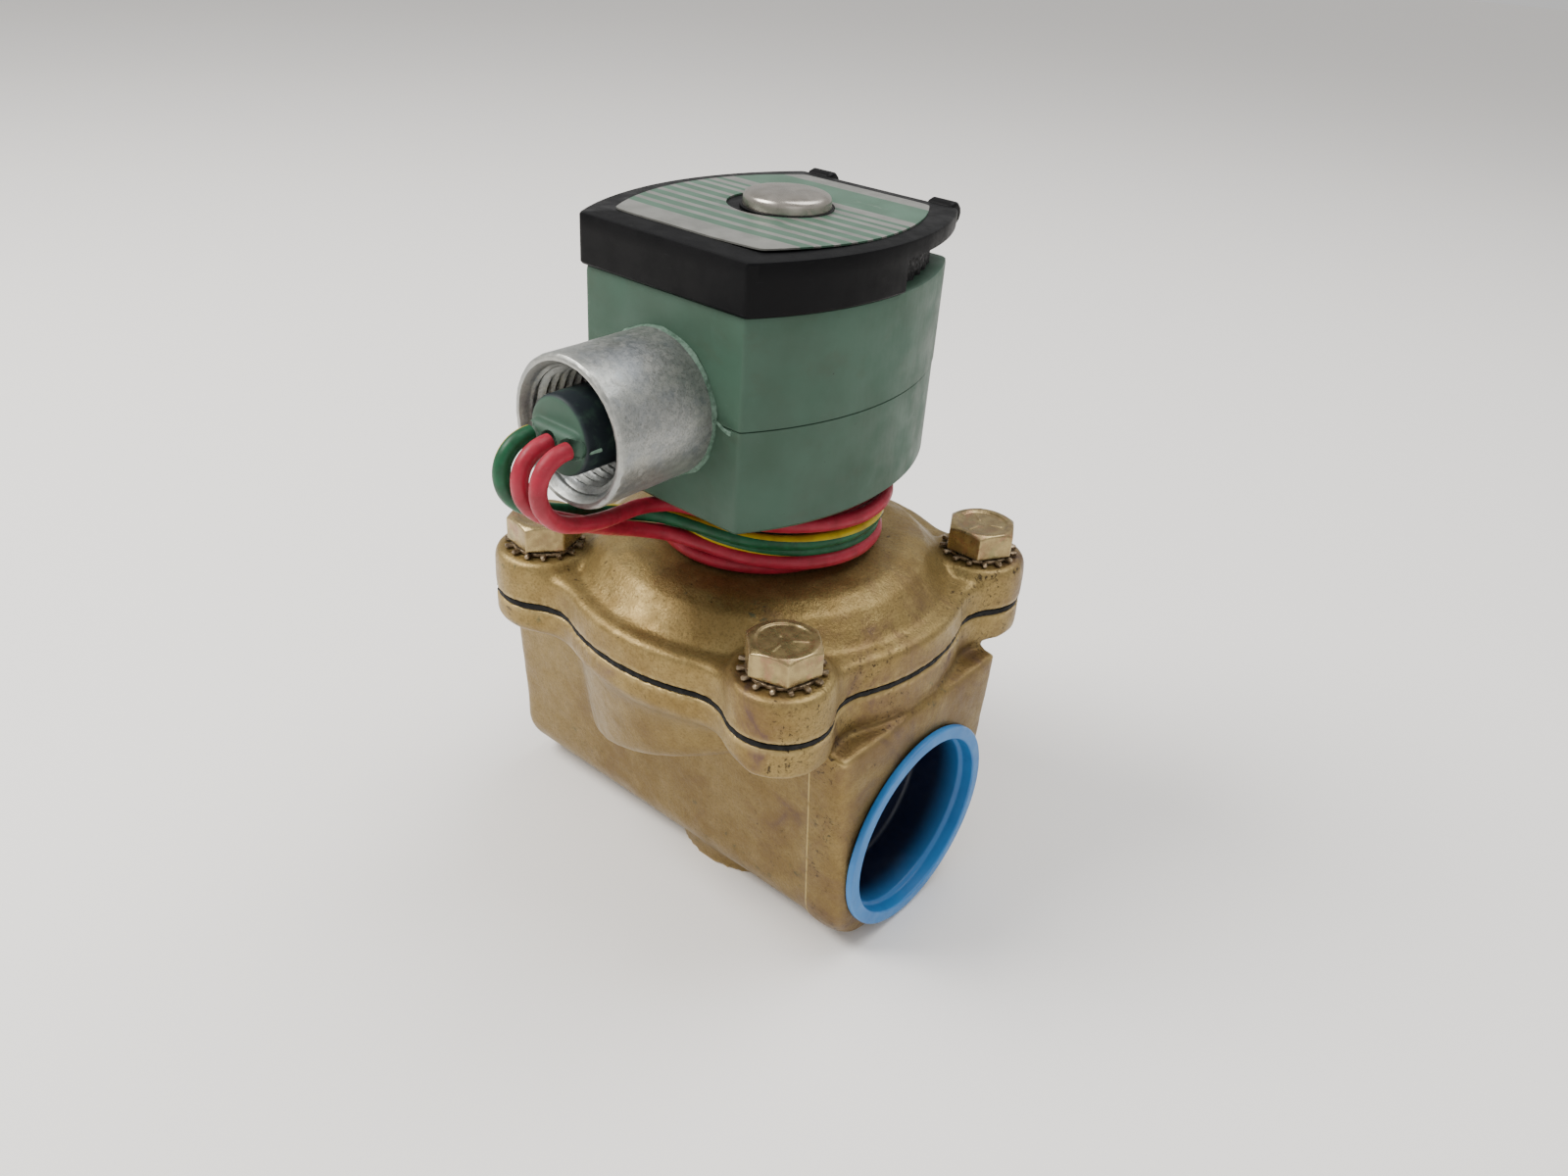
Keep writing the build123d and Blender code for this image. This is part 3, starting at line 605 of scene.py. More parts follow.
def lead_route(x, row):
    """The same points as the CAD route: out of the ledge, round under the hub, in to the winding."""
    return [
        (x, LEDGE_Y, LEAD_TOP),
        (x, LEDGE_Y - 2.8, LEAD_TOP),
        (x - 0.2, LEDGE_Y - 5.9, LEAD_TOP - 3.3),
        (x - 0.5, LEDGE_Y - 5.6, LEAD_TOP - 8.0),
        (x - 1.0, LEDGE_Y - 2.4, LEAD_TOP - 12.0),
        (0.93 * x - 2.0, LEDGE_Y + 3.0, 93.7 - 0.3 * row),
        (0.84 * x - 3.2, LEDGE_Y + 9.4, 91.5 - 0.9 * row),
        (0.66 * x - 5.0, LEDGE_Y + 16.4, 89.4 - 1.8 * row),
        (0.44 * x - 6.5, LEDGE_Y + 24.0, 87.6 - 2.7 * row),
        (0.20 * x - 3.8, LEDGE_Y + 30.9, 86.4 - 3.3 * row),
        (2.6, -21.3, 86.0 - 3.4 * row),
    ]


# turns wound round the base: (turn, radius, height) of each lead's centre line
WINDING = {
    "lead_red_right": [
        (0.0, 21.6, 85.9), (0.12, 22.0, 85.9), (0.25, 23.6, 85.4), (0.5, 21.4, 86.9), (1.0, 21.0, 87.3),
        (1.35, 20.9, 84.5), (1.9, 20.9, 84.3), (2.15, 18.0, 85.0), (2.7, 17.9, 86.9), (3.3, 17.8, 87.2),
        (4.0, 15.0, 86.9)],
    "lead_ground": [
        (0.0, 21.5, 82.4), (0.2, 22.0, 81.8), (0.5, 21.3, 81.4), (1.0, 20.9, 81.3), (1.3, 20.9, 78.6),
        (1.9, 20.9, 78.7), (2.15, 18.0, 79.4), (2.6, 17.9, 81.2), (3.3, 17.8, 81.9), (4.0, 15.0, 83.8)],
    "lead_red_left": [
        (0.0, 21.5, 79.0), (0.18, 22.0, 77.6), (0.5, 21.2, 76.0), (1.0, 20.8, 75.9), (1.25, 18.0, 76.0),
        (2.0, 17.9, 76.2), (2.3, 15.2, 78.9), (3.0, 15.0, 79.3), (3.4, 15.0, 80.6), (4.0, 15.0, 82.4)],
}
POINTS_A_TURN = 14
MEAN_TURN_R = 18.5
STRIPE_SIDES = 5


def nurbs(name, points):
    """A smooth curve on its control points, given in millimetres."""
    curve = bpy.data.curves.new(name, "CURVE")
    curve.dimensions = "3D"
    curve.resolution_u = 6
    spline = curve.splines.new("NURBS")
    spline.points.add(len(points) - 1)
    for slot, point in zip(spline.points, points):
        slot.co = (*(float(c) * MM for c in point), 1.0)
    spline.order_u = 3
    spline.use_endpoint_u = True
    return curve


def centre_line(name, points):
    """Points along the smooth curve of a route, in millimetres."""
    curve = nurbs(name, points)
    obj = bpy.data.objects.new(name, curve)
    bpy.context.scene.collection.objects.link(obj)
    mesh = bpy.data.meshes.new_from_object(obj.evaluated_get(bpy.context.evaluated_depsgraph_get()))
    line = np.array([v.co for v in mesh.vertices]) / MM
    bpy.data.objects.remove(obj)
    bpy.data.meshes.remove(mesh)
    return line


def line_length(line):
    return float(np.linalg.norm(np.diff(line, axis=0), axis=1).sum())


def lead_points(node, turns):
    """Route, then turns of the winding; neighbouring turns lie a diameter apart."""
    x, row = LEADS[node]
    keys = np.array(WINDING[node])
    points = lead_route(x, row)
    first = math.atan2(points[-1][1], points[-1][0])
    count = int(math.ceil(turns * POINTS_A_TURN))
    for k in range(1, count + 1):
        turn = turns * k / count
        radius = np.interp(turn, keys[:, 0], keys[:, 1]) / math.cos(math.pi / POINTS_A_TURN) ** 0.5
        height = np.interp(turn, keys[:, 0], keys[:, 2])
        angle = first + 2 * math.pi * turn
        points.append((radius * math.cos(angle), radius * math.sin(angle), height))
    return points


def tube(line, radius, sides, twist=0.0, phase=0.0):
    """A round tube along a line, closed at both ends; twist is turns in all."""
    tangent = np.gradient(line, axis=0)
    tangent /= np.linalg.norm(tangent, axis=1)[:, None]
    normal = np.cross(tangent[0], (0, 0, 1.0))
    normal /= np.linalg.norm(normal)
    rows, count = [], len(line)
    for i, (point, along) in enumerate(zip(line, tangent)):
        normal = normal - along * np.dot(normal, along)
        normal /= np.linalg.norm(normal)
        other = np.cross(along, normal)
        angle = np.linspace(0, 2 * math.pi, sides, endpoint=False) + phase + 2 * math.pi * twist * i / count
        rows.append(point + radius * (np.cos(angle)[:, None] * normal + np.sin(angle)[:, None] * other))
    co = np.concatenate(rows)
    faces = grid(count, sides)
    last = (count - 1) * sides
    faces += [tuple(range(sides))[::-1], tuple(range(last, last + sides))]
    return co, faces


def make_lead(node):
    """Winds the lead until its whole length is used up, then skins it."""
    turns = 3.0
    for _ in range(4):
        line = centre_line(node, lead_points(node, turns))
        turns += (LEAD_LENGTH - line_length(line)) / (2 * math.pi * MEAN_TURN_R)
    striped = node == "lead_ground"
    twist, phase, sides = (1.7, 4.9, 18) if striped else (0.0, 0.0, 16)
    co, faces = tube(line, LEAD_D / 2, sides, twist, phase)
    paints = [PAINT[SLOT_OF[node]], YELLOW_STRIPE]
    stripe = [int(striped and i < len(line) * sides and i % sides < STRIPE_SIDES) for i in range(len(faces))]
    replaced = (node, "lead_hank") if node == "lead_red_right" else (node,)
    obj = piece(node + "_cord", co, faces, node, replaced, paints, stripe, tidy=False)


for node in LEADS:
    make_lead(node)


# ---------------------------------------------------------------- valve body and bonnet
FLANGE_R, LOBE_R, NOTCH_R, BOLT_XY = 41.3, 9.9, 10.0, 31.0
BOLTS = [(sx * BOLT_XY, sy * BOLT_XY) for sx in (1, -1) for sy in (1, -1)]
SEAL_LOW, SEAL_HIGH = BODY_HIGH[2], BONNET_LOW[2]


def flange_radius(count=720):
    """Outline of the round flange with four lobes and hollow corners, as radii at equal angles."""
    centre, far = BOLT_XY * math.sqrt(2), FLANGE_R + NOTCH_R
    offset = math.acos((far ** 2 + centre ** 2 - (LOBE_R + NOTCH_R) ** 2) / (2 * far * centre))
    notch_at = np.array([far * math.cos(offset), far * math.sin(offset)])
    touch = notch_at + (np.array([centre, 0]) - notch_at) * NOTCH_R / (LOBE_R + NOTCH_R)
    touch_angle = math.atan2(touch[1], touch[0])
    angle = np.linspace(0, 2 * math.pi, count, endpoint=False)
    delta = np.abs(angle % (math.pi / 2) - math.pi / 4)
    radius = np.full(count, FLANGE_R)
    on_lobe = delta < touch_angle
    along, across = centre * np.cos(delta[on_lobe]), centre * np.sin(delta[on_lobe])
    radius[on_lobe] = along + np.sqrt(np.maximum(LOBE_R ** 2 - across ** 2, 0))
    in_notch = (delta >= touch_angle) & (delta < offset)
    gap = offset - delta[in_notch]
    radius[in_notch] = far * np.cos(gap) - np.sqrt(np.maximum(NOTCH_R ** 2 - (far * np.sin(gap)) ** 2, 0))
    return radius


def from_bolts(co):
    """Distance of each point from the nearest bolt axis."""
    return np.min([np.hypot(co[:, 0] - x, co[:, 1] - y) for x, y in BOLTS], axis=0)


LIP = 0.32  # each casting's edge rolls this far over the rubber
BODY_VOXEL, BONNET_VOXEL, SCREW_VOXEL, STUB_VOXEL = 0.62, 0.55, 0.19, 0.22


# faces of a block of four points below and four above, wound to face inward
BOX_FACES = [(0, 1, 2, 3), (7, 6, 5, 4), (0, 4, 5, 1), (1, 5, 6, 2), (2, 6, 7, 3), (3, 7, 4, 0)]


def wall_plug(side, x0, x1, y0, y1, low0, low1, high):
    """Closed block with a sloping underside, at +y or -y by side."""
    corners = [(x0, y0, low0), (x1, y0, low1), (x1, y1, low1), (x0, y1, low0)]
    corners += [(x, y, high) for x, y, _ in corners]
    return np.array(corners) * (1, side, 1), [f[::-side] for f in BOX_FACES]


def make_body():
    # the chamber is wider than the way below it: these keep the side walls whole
    plugs = [wall_plug(side, 2.0, 21.0, 21.6, 24.1, 36.0, 36.0, 46.0) for side in (1, -1)]
    plugs += [wall_plug(side, 2.0, 21.0, 21.6, 28.6, 37.0, 45.0, 47.0) for side in (1, -1)]
    co, edges, faces = remeshed(*join(cad_mesh("valve_body"), *plugs), voxel=BODY_VOXEL)
    x, y, z = co.T
    wide = np.abs(y)
    share = 0.95 - 0.5 * ease(-x, 46.0, 50.0)
    share *= 1 - ease(z, SEAL_LOW - 1.2, SEAL_LOW - 0.4)
    share *= ease(z, 0.6, 1.8) * (1 - (np.hypot(x - 4, y) < 19.5) * (z < 7) * 0.9)
    tube_r = np.hypot(y, z - PORT_Z)
    inside = (tube_r < 21.0) | ((np.hypot(x, y) < 29.5) & (z > 37))
    share[inside & (wide < 21.5)] *= 0.1
    co = relax(co, edges, np.clip(share, 0, 1), 14)
    blend = ease(wide, 12, 20) * ease(z, 8, 20) * (1 - ease(z, 54.5, 56.0)) * (1 - ease(x, 28, 33))
    co = relax(co, edges, np.clip(blend, 0, 1), 50)
    end = ease(x, 37.5, 40.5) * ease(tube_r, 21.4, 22.4) * (1 - ease(z, 50.0, 52.0))
    co = relax(co, edges, np.clip(end, 0, 1), 60)
    swell = rough_field(co, 9.0) * 0.16 + rough_field(co, 3.2, 5.0) * 0.07
    outside = np.where(inside, 0.0, 1.0) * ease(z, 1.0, 3.0) * (1 - ease(z, SEAL_LOW - 1.0, SEAL_LOW - 0.2))
    out = co - np.array([0, 0, 30.0])
    co = co + out / np.linalg.norm(out, axis=1)[:, None] * (swell * outside)[:, None]
    lip = ease(co[:, 2], SEAL_LOW - 0.7, SEAL_LOW - 0.1) * ease(np.hypot(x, y), 29.5, 32.0)
    co[:, 2] += LIP * lip
    # thread of the inlet, at one radius along its length
    pitch, depth = 2.209, 1.1
    z_in = BODY_LOW[0] + 17.0
    heights = np.arange(BODY_LOW[0] + 0.6, z_in, pitch / 8)

    def ripple(angle, radius, height):
        if radius > 20.6:
            return 0.0
        phase = (height / pitch + angle / (2 * math.pi)) % 1.0
        run = min(1.0, (height - BODY_LOW[0] - 0.4) / 1.5, (z_in - height + 0.3) / 2.0)
        return -depth * np.abs(1 - 2 * phase) * max(run, 0.0)

    profile = [(20.45, h) for h in heights] + [(21.2, z_in - 0.2), (21.2, BODY_LOW[0] + 0.7)]
    thread = lathe(profile, "X", 144, (0, 0, PORT_Z), ripple=ripple)
    return piece("body_casting", *join((co, faces), thread), "valve_body", ["valve_body"], crease=50)


def make_bonnet():
    webs = []
    for sx, sy in ((1, 1), (1, -1), (-1, 1), (-1, -1)):
        # a low web ties each lobe to the dome
        turn = math.atan2(sy, sx)
        low = BONNET_LOW[2] + 2.0
        cross = [(-6.2, low), (6.2, low), (5.0, 67.8), (3.0, 68.7), (-3.0, 68.7), (-5.0, 67.8)]
        rows = []
        for r, lift in ((32.6, 2.4), (35.6, 1.0), (38.0, 0.1), (43.0, 0.0)):
            for across, height in cross:
                height = height + (lift if height > 67 else 0.0)
                rows.append((*around(r, across, turn), height))
        webs.append((np.array(rows), capped(4, len(cross))))
    co, edges, faces = remeshed(*join(cad_mesh("bonnet"), *webs), voxel=BONNET_VOXEL)
    x, y, z = co.T
    near = from_bolts(co)
    r = np.hypot(x, y)
    seat = (1 - ease(near, 7.9, 8.9)) * (z > 69.0)
    share = ease(z, BONNET_LOW[2] + 0.4, BONNET_LOW[2] + 1.4) * (1 - seat)
    share[(near < 5.5) | (r < 13) | ((r < 29.5) & (z < 69.2))] = 0.1
    co = relax(co, edges, share, 9)
    foot = ease(r, 31, 34) * ease(z, 66.0, 67.2) * (1 - seat) * (1 - 0.85 * (1 - ease(near, 8.6, 10.2)))
    co = relax(co, edges, np.clip(foot, 0, 1), 7)
    hold = share * ease(r, 13.5, 15)
    out = np.stack((x * 0.6, y * 0.6, np.full(len(co), 25.0)), 1)
    swell = (rough_field(co, 8.0, 3.0) * 0.14 + rough_field(co, 2.8, 9.0) * 0.06) * np.clip(hold, 0, 1)
    co = co + out / np.linalg.norm(out, axis=1)[:, None] * swell[:, None]
    lip = (1 - ease(co[:, 2], BONNET_LOW[2] + 0.1, BONNET_LOW[2] + 0.7)) * ease(np.hypot(x, y), 29.5, 32.0)
    co[:, 2] -= LIP * lip
    return piece("bonnet_casting", co, faces, "bonnet", ["bonnet"], crease=50, tidy=False)


def make_gasket():
    """Rim of the diaphragm: a black line with slightly squeezed, torn edges."""
    outline = flange_radius()
    count = len(outline)
    ring = ring_of(np.full(count, 28.0), 0.0)
    wander = rough_field(ring, 1.5) * 0.16 + rough_field(ring, 0.5, 3.0) * 0.10
    tears = np.clip(rough_field(ring, 0.35, 7.0) - 0.45, 0, 1) * 1.1
    out = outline - 0.30 + wander
    low, high = SEAL_LOW + LIP - 0.1, SEAL_HIGH - LIP + 0.1
    mid = (low + high) / 2
    inner, middle = np.full(count, 29.2), np.full(count, 31.0)
    levels = [(inner, SEAL_LOW), (middle, low), (out - 0.35, low), (out, low + 0.2),
              (out + 0.05 + tears, mid), (out, high - 0.2), (out - 0.35, high), (middle, high),
              (inner, SEAL_HIGH)]
    piece("gasket_rim", *stack(levels), "diaphragm", ["diaphragm"])
    web = rounded([(3.1, 53.0), (18.4, 53.0), (21.5, 54.0), (26.0, 58.8), (28.9, 59.5), (28.9, 61.0),
                   (25.4, 60.5), (20.6, 55.7), (17.9, 54.7), (3.1, 54.7)], 0.8)
    sheet = piece("diaphragm_web", *lathe(web, "Z", 120), "diaphragm")
    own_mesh(sheet)


make_body()
make_bonnet()
make_gasket()


def spring_piece(node):
    co, faces = cad_mesh(node)
    obj = piece(node + "_wire", co, faces, node, [node])
    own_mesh(obj)


spring_piece("diaphragm_spring")
spring_piece("core_spring")


# ---------------------------------------------------------------- screws and lock washers
HEAD_LOW, HEAD_HIGH = node_box("lock_washers")[1][2], node_box("bonnet_screws")[1][2]


def make_screw_mesh():
    """One screw about the origin: soft hexagon head, dished top with three raised lines."""
    x0, y0 = BOLTS[0]
    co, faces = cad_mesh("bonnet_screws", lambda c: np.hypot(c[:, 0] - x0, c[:, 1] - y0) < 12)
    co = co - (x0, y0, 0)
    co, edges, faces = remeshed(co, faces, voxel=SCREW_VOXEL)
    co = relax(co, edges, np.ones(len(co)), 4)
    x, y, z = co.T
    r, angle = np.hypot(x, y), np.arctan2(y, x)
    on_top = ease(z, HEAD_HIGH - 0.55, HEAD_HIGH - 0.4) * (1 - ease(r, 4.7, 5.1))
    line = np.zeros(len(co))
    for k in range(3):
        away = np.abs((angle - 2 * math.pi * k / 3 - 0.4 + math.pi) % (2 * math.pi) - math.pi) * r
        line = np.maximum(line, (1 - ease(away, 0.12, 0.38)) * ease(r, 1.1, 1.5) * (1 - ease(r, 3.9, 4.3)))
    dish = 0.06 * (1 - ease(r, 0.0, 4.8))
    co[:, 2] += on_top * (0.13 * line - dish) + rough_field(co, 1.3) * 0.03 * (z > HEAD_LOW)
    return co, faces


screw_co, screw_faces = make_screw_mesh()
for k, (x, y) in enumerate(BOLTS):
    turn = math.radians(17 * k)
    spin = np.array([[math.cos(turn), math.sin(turn), 0], [-math.sin(turn), math.cos(turn), 0], [0, 0, 1]])
    piece(f"bonnet_screw_{k + 1}", screw_co @ spin + (x, y, 0), screw_faces, "bonnet_screws",
          ["bonnet_screws"] if k == 0 else (), crease=60, tidy=False)


WASHER_LOW, TEETH = node_box("lock_washers")[0][2], 15
# sections of a tooth: (radius, half width, half thickness, twist in degrees)
TOOTH = ((6.2, 0.56, 0.30, 0.0), (7.1, 0.52, 0.42, 18.0), (7.7, 0.48, 0.46, 26.0), (7.92, 0.34, 0.32, 26.0))


def washer_part(turn):
    """One toothed lock washer: a flat ring and teeth with a slight twist."""
    mid, half = (WASHER_LOW + HEAD_LOW) / 2, (HEAD_LOW - WASHER_LOW) / 2
    low, high = mid - 0.32, mid + 0.32
    parts = [lathe(rounded([(4.15, low), (6.5, low), (6.5, high), (4.15, high)], 0.12), "Z", 60)]
    for k in range(TEETH):
        angle = 2 * math.pi * k / TEETH + turn
        rows = []
        for r, half_w, half_t, tilt in TOOTH:
            t = math.radians(tilt)
            for a in np.linspace(0, 2 * math.pi, 10, endpoint=False):
                # squarish section
                u = half_w * np.sign(math.cos(a)) * abs(math.cos(a)) ** 0.6
                v = half_t * np.sign(math.sin(a)) * abs(math.sin(a)) ** 0.6
                across, up = u * math.cos(t) - v * math.sin(t), u * math.sin(t) + v * math.cos(t)
                rows.append((*around(r, across, angle), mid + float(np.clip(up, -half, half))))
        parts.append((np.array(rows), capped(len(TOOTH), 10)))
    return join(*parts)


for k, (x, y) in enumerate(BOLTS):
    co, faces = washer_part(0.17 * k)
    piece(f"lock_washer_{k + 1}", co + (x, y, 0), faces, "lock_washers", ["lock_washers"] if k == 0 else ())


# ---------------------------------------------------------------- moulded coil
FRONT_Y, BACK_Y = COIL_LOW[1], COIL_HIGH[1]
FRONT_HALF, BACK_HALF, BULGE_X, BULGE_Y = 18.0, 17.4, COIL_HIGH[0], -1.5
RAYS = 720


def arc_through(a, b, c, count):
    """Points on the circle through a, b and c, from a to c."""
    (ax, ay), (bx, by), (cx, cy) = a, b, c
    aa, bb, cc = ax * ax + ay * ay, bx * bx + by * by, cx * cx + cy * cy
    d = 2 * (ax * (by - cy) + bx * (cy - ay) + cx * (ay - by))
    ux = (aa * (by - cy) + bb * (cy - ay) + cc * (ay - by)) / d
    uy = (aa * (cx - bx) + bb * (ax - cx) + cc * (bx - ax)) / d
    r = math.hypot(ax - ux, ay - uy)
    start, end = math.atan2(ay - uy, ax - ux), math.atan2(cy - uy, cx - ux)
    return [(ux + r * math.cos(t), uy + r * math.sin(t)) for t in np.linspace(start, end, count)]


def coil_radius(grow, corner, cut=None):
    """Flat front, bowed sides, flat back, with rounded corners. cut moves the front back to that y."""
    fx, fy, bx, by = FRONT_HALF + grow, FRONT_Y - grow, BACK_HALF + grow, BACK_Y + grow
    bow = arc_through((fx, fy), (BULGE_X + grow, BULGE_Y), (bx, by), 41)
    right = [(x, y, 0.0) for x, y in bow]
    right[0], right[-1] = (fx, fy, corner), (bx, by, corner)
    if cut is not None:
        start = (float(np.interp(cut, [y for x, y in bow], [x for x, y in bow])), cut, corner)
        right = [start] + [p for p in right if p[1] > cut + 0.5]
    left = [(-x, y, c) for x, y, c in reversed(right)]
    return polar(rounded(right + left, 0.0, 5), RAYS)


def make_housing():
    """Shell with a chamfered foot, a groove and a slight step at the parting line, open at the top."""
    low, high, part = COIL_LOW[2], COIL_HIGH[2], HUB_Z
    insets = (-0.25, -1.0, -0.35, -2.6, 0.0, 0.10)
    groove, foot, brim, wall, full, step = (coil_radius(g, 0.55) for g in insets)
    bore = np.full(RAYS, 7.6)
    levels = [(bore, low), (foot, low), (groove, low + 0.75), (full, low + 1.0)]
    levels += [(full, z) for z in np.linspace(low + 4, part - 0.5, 6)]
    levels += [(full, part - 0.16), (groove, part - 0.06), (groove, part + 0.02), (step, part + 0.12)]
    levels += [(step, z) for z in np.linspace(part + 1, high - 1.0, 6)]
    levels += [(full, high - 0.25), (brim, high), (wall, high), (wall, high - 1.2), (bore, high - 1.2)]
    piece("coil_shell", *stack(levels), "coil_housing", ["coil_housing"], crease=38)


def make_flash():
    """Thin moulding flash round the root of the hub and a curl of it at the parting line."""
    count = 160

    def ragged(angle, radius, height):
        thick = np.clip(rough_field(ring_of(np.full(count, 6.0), height), 1.6, 4.0) * 1.2 + 0.35, 0.02, 1.2)
        return np.where(radius > HUB_R + 0.1, thick * 0.55, 0.0)

    section = [(-0.3, 0.3), (0.15, 0.3), (0.2, -0.25), (-0.02, -0.9), (-0.3, -0.4)]
    section = [(HUB_R + r, FRONT_Y + y) for r, y in section]
    ring = lathe(section, "Y", count, (0, 0, HUB_Z), ripple=ragged)
    curls = []
    for points, width in (
        ([(12.3, FRONT_Y - 0.2, 109.0), (13.4, FRONT_Y - 1.1, 109.8), (14.6, FRONT_Y - 1.3, 109.6),
          (15.7, FRONT_Y - 1.2, 108.8), (17.0, FRONT_Y - 1.1, 108.6)], 0.42),
        ([(6.3, STUB_Y + 1.2, 107.6), (6.8, STUB_Y + 0.4, 107.9), (7.4, STUB_Y + 1.0, 108.4),
          (7.9, STUB_Y + 2.0, 108.6)], 0.3),
    ):
        line = centre_line("curl", points)
        co, faces = tube(line, width, 8)
        middle = np.repeat(line, 8, axis=0)
        taper = np.repeat(np.linspace(0.35, 1.0, len(line)), 8)
        co = middle + (co - middle) * np.stack((taper, taper * 0.45, taper), 1)
        curls.append((co, faces))
    piece("hub_flash", *join(ring, *curls), "coil_housing", paints=[FLASH])


def make_hub():
    """Steel conduit hub with a tapered internal thread and a machined mouth."""
    mouth, root = HUB_LOW[1], HUB_HIGH[1]
    pitch, depth = 1.814, 1.3
    deep = mouth + 17.0
    bore = 10.6

    def ripple(angle, radius, height):
        if abs(radius - bore) > 0.3 or height > deep:
            return 0.0
        phase = (height / pitch + angle / (2 * math.pi)) % 1.0
        run = max(0.0, min(1.0, (height - mouth - 1.3) / 1.6, (deep - height) / 2.0))
        return -depth * (1 - np.abs(1 - 2 * phase)) ** 0.8 * run

    rim = [(bore + 0.95, mouth + 0.06), (bore + 1.3, mouth), (HUB_R - 0.75, mouth),
           (HUB_R - 0.4, mouth + 0.1), (HUB_R - 0.08, mouth + 0.45), (HUB_R, mouth + 0.9)]
    outside = [(HUB_R, y) for y in np.linspace(mouth + 3, root - 2, 10)] + [(HUB_R, root), (8.0, root)]
    inside = [(8.0, root - 1.6), (bore, root - 1.6)]
    inside += [(bore + 0.25 * (deep - y) / 17.0, y) for y in np.arange(deep, mouth + 1.1, -pitch / 9)]
    inside += [(bore + 0.45, mouth + 0.9), (bore + 0.72, mouth + 0.4)]
    co, faces = lathe(rim + outside + inside, "Y", 160, (0, 0, HUB_Z), ripple=ripple)
    r = np.hypot(co[:, 0], co[:, 2] - HUB_Z)
    out = np.stack((co[:, 0], np.zeros(len(co)), co[:, 2] - HUB_Z), 1) / r[:, None]
    co = co + out * (rough_field(co, 1.7) * 0.05 * (r > 12))[:, None]
    co[:, 1] += np.where(co[:, 1] < mouth + 0.5, rough_field(co, 1.2, 2.0) * 0.07, 0.0)
    piece("hub_steel", co, faces, "conduit_hub", ["conduit_hub"])


def make_stub():
    """Lead stub with a bar across its face that the leads come out of."""
    face, end, stub_r = STUB_Y, STUB_HIGH[1], 6.7
    shape = rounded([(0.01, face, 0), (stub_r, face, 0.8), (stub_r, end, 0.1), (0.01, end, 0)], 0.2, 5)
    stub = lathe(shape, "Y", 96, (0, 0, HUB_Z))
    low, high = 106.5, 110.9
    bar = []
    for y, grow in ((face + 2.0, 0.15), (face - 1.2, 0.05), (face - 1.75, -0.25), (LEDGE_Y, -0.8)):
        w = 5.6 + grow
        shape = rounded([(-w, low - grow), (w, low - grow), (w, high + grow), (-w, high + grow)], 1.9, 5)
        bar.append(np.stack((shape[:, 0] + 0.3, np.full(len(shape), y), shape[:, 1]), 1))
    bar = np.concatenate(bar), capped(len(bar), len(bar[0]))
    co, edges, faces = remeshed(*join(stub, bar), voxel=STUB_VOXEL)
    co = relax(co, edges, np.ones(len(co)), 6)
    # sockets that the leads come out of
    for x, _ in LEADS.values():
        away = np.hypot(co[:, 0] - x, co[:, 2] - LEAD_TOP)
        front = 1 - ease(co[:, 1], face - 1.0, face + 0.6)
        co[:, 1] += 1.1 * (1 - ease(away, 1.5, 1.9)) * front
    piece("stub_moulding", co, faces, "lead_stub", ["lead_stub"], [STAINED_EPOXY], crease=50, tidy=False)


def make_cover():
    low, high, skirt_low = COVER_LOW[2] + 5.7, COVER_HIGH[2], COVER_LOW[2]
    bore = np.full(RAYS, 7.8)
    out, edge = coil_radius(0.8, 0.5), coil_radius(0.35, 0.5)
    lid = stack([(bore, low), (out, low), (out, high - 0.45), (coil_radius(0.66, 0.5), high - 0.13),
                 (edge, high), (bore, high)])
    # skirt round the front, broken off at both ends
    angle = np.linspace(0, 2 * math.pi, RAYS, endpoint=False)
    inner = coil_radius(-0.9, 0.5)
    y_out = out * np.sin(angle)
    order = np.roll(np.arange(RAYS), -int(np.argmin(np.abs(angle - math.pi / 2))))
    order = order[y_out[order] < 0.4]
    levels = ((out, low), (out, low - 2.5), (out, skirt_low + 0.35), (out - 0.3, skirt_low),
              (inner + 0.2, skirt_low), (inner, skirt_low + 0.3), (inner, low))
    rows = np.array([ring_of(radii, base)[order] for radii, base in levels])
    count = len(order)
    for end, direction in ((0, 1), (count - 1, -1)):
        for k in range(1, 6):
            ragged = 0.5 * noise.noise(Vector((k * 0.9, end, 2.0)))
            rows[k, end] += (rows[k, end] - rows[k, end + direction]) * ragged * 3
    skirt_faces = grid(7, count, close_columns=False)
    skirt_faces += [tuple(k * count for k in range(7)), tuple(k * count + count - 1 for k in range(7))[::-1]]
    skirt = (rows.reshape(-1, 3), skirt_faces)
    lugs = []
    for sx in (1, -1):
        barrel = rounded([(0.01, -2.8, 0), (1.9, -2.8, 0.5), (2.3, -2.2, 0.4), (2.3, 2.2, 0.4),
                          (1.9, 2.8, 0.5), (0.01, 2.8, 0)], 0.3)
        lugs.append(lathe(barrel, "X", 12, (sx * 14.2, COVER_HIGH[1] - 2.3, high - 1.6)))
        y0, y1 = BACK_Y - 0.5, COVER_HIGH[1] - 2.0
        arm = [(sx * 14.2 + dx, y, z) for z in (low, high - 0.4)
               for dx, y in ((-1.7, y0), (1.7, y0), (1.5, y1), (-1.5, y1))]
        lugs.append((np.array(arm), BOX_FACES))
    piece("cover_moulding", *join(lid, skirt, *lugs), "top_cover", ["top_cover"], crease=30)


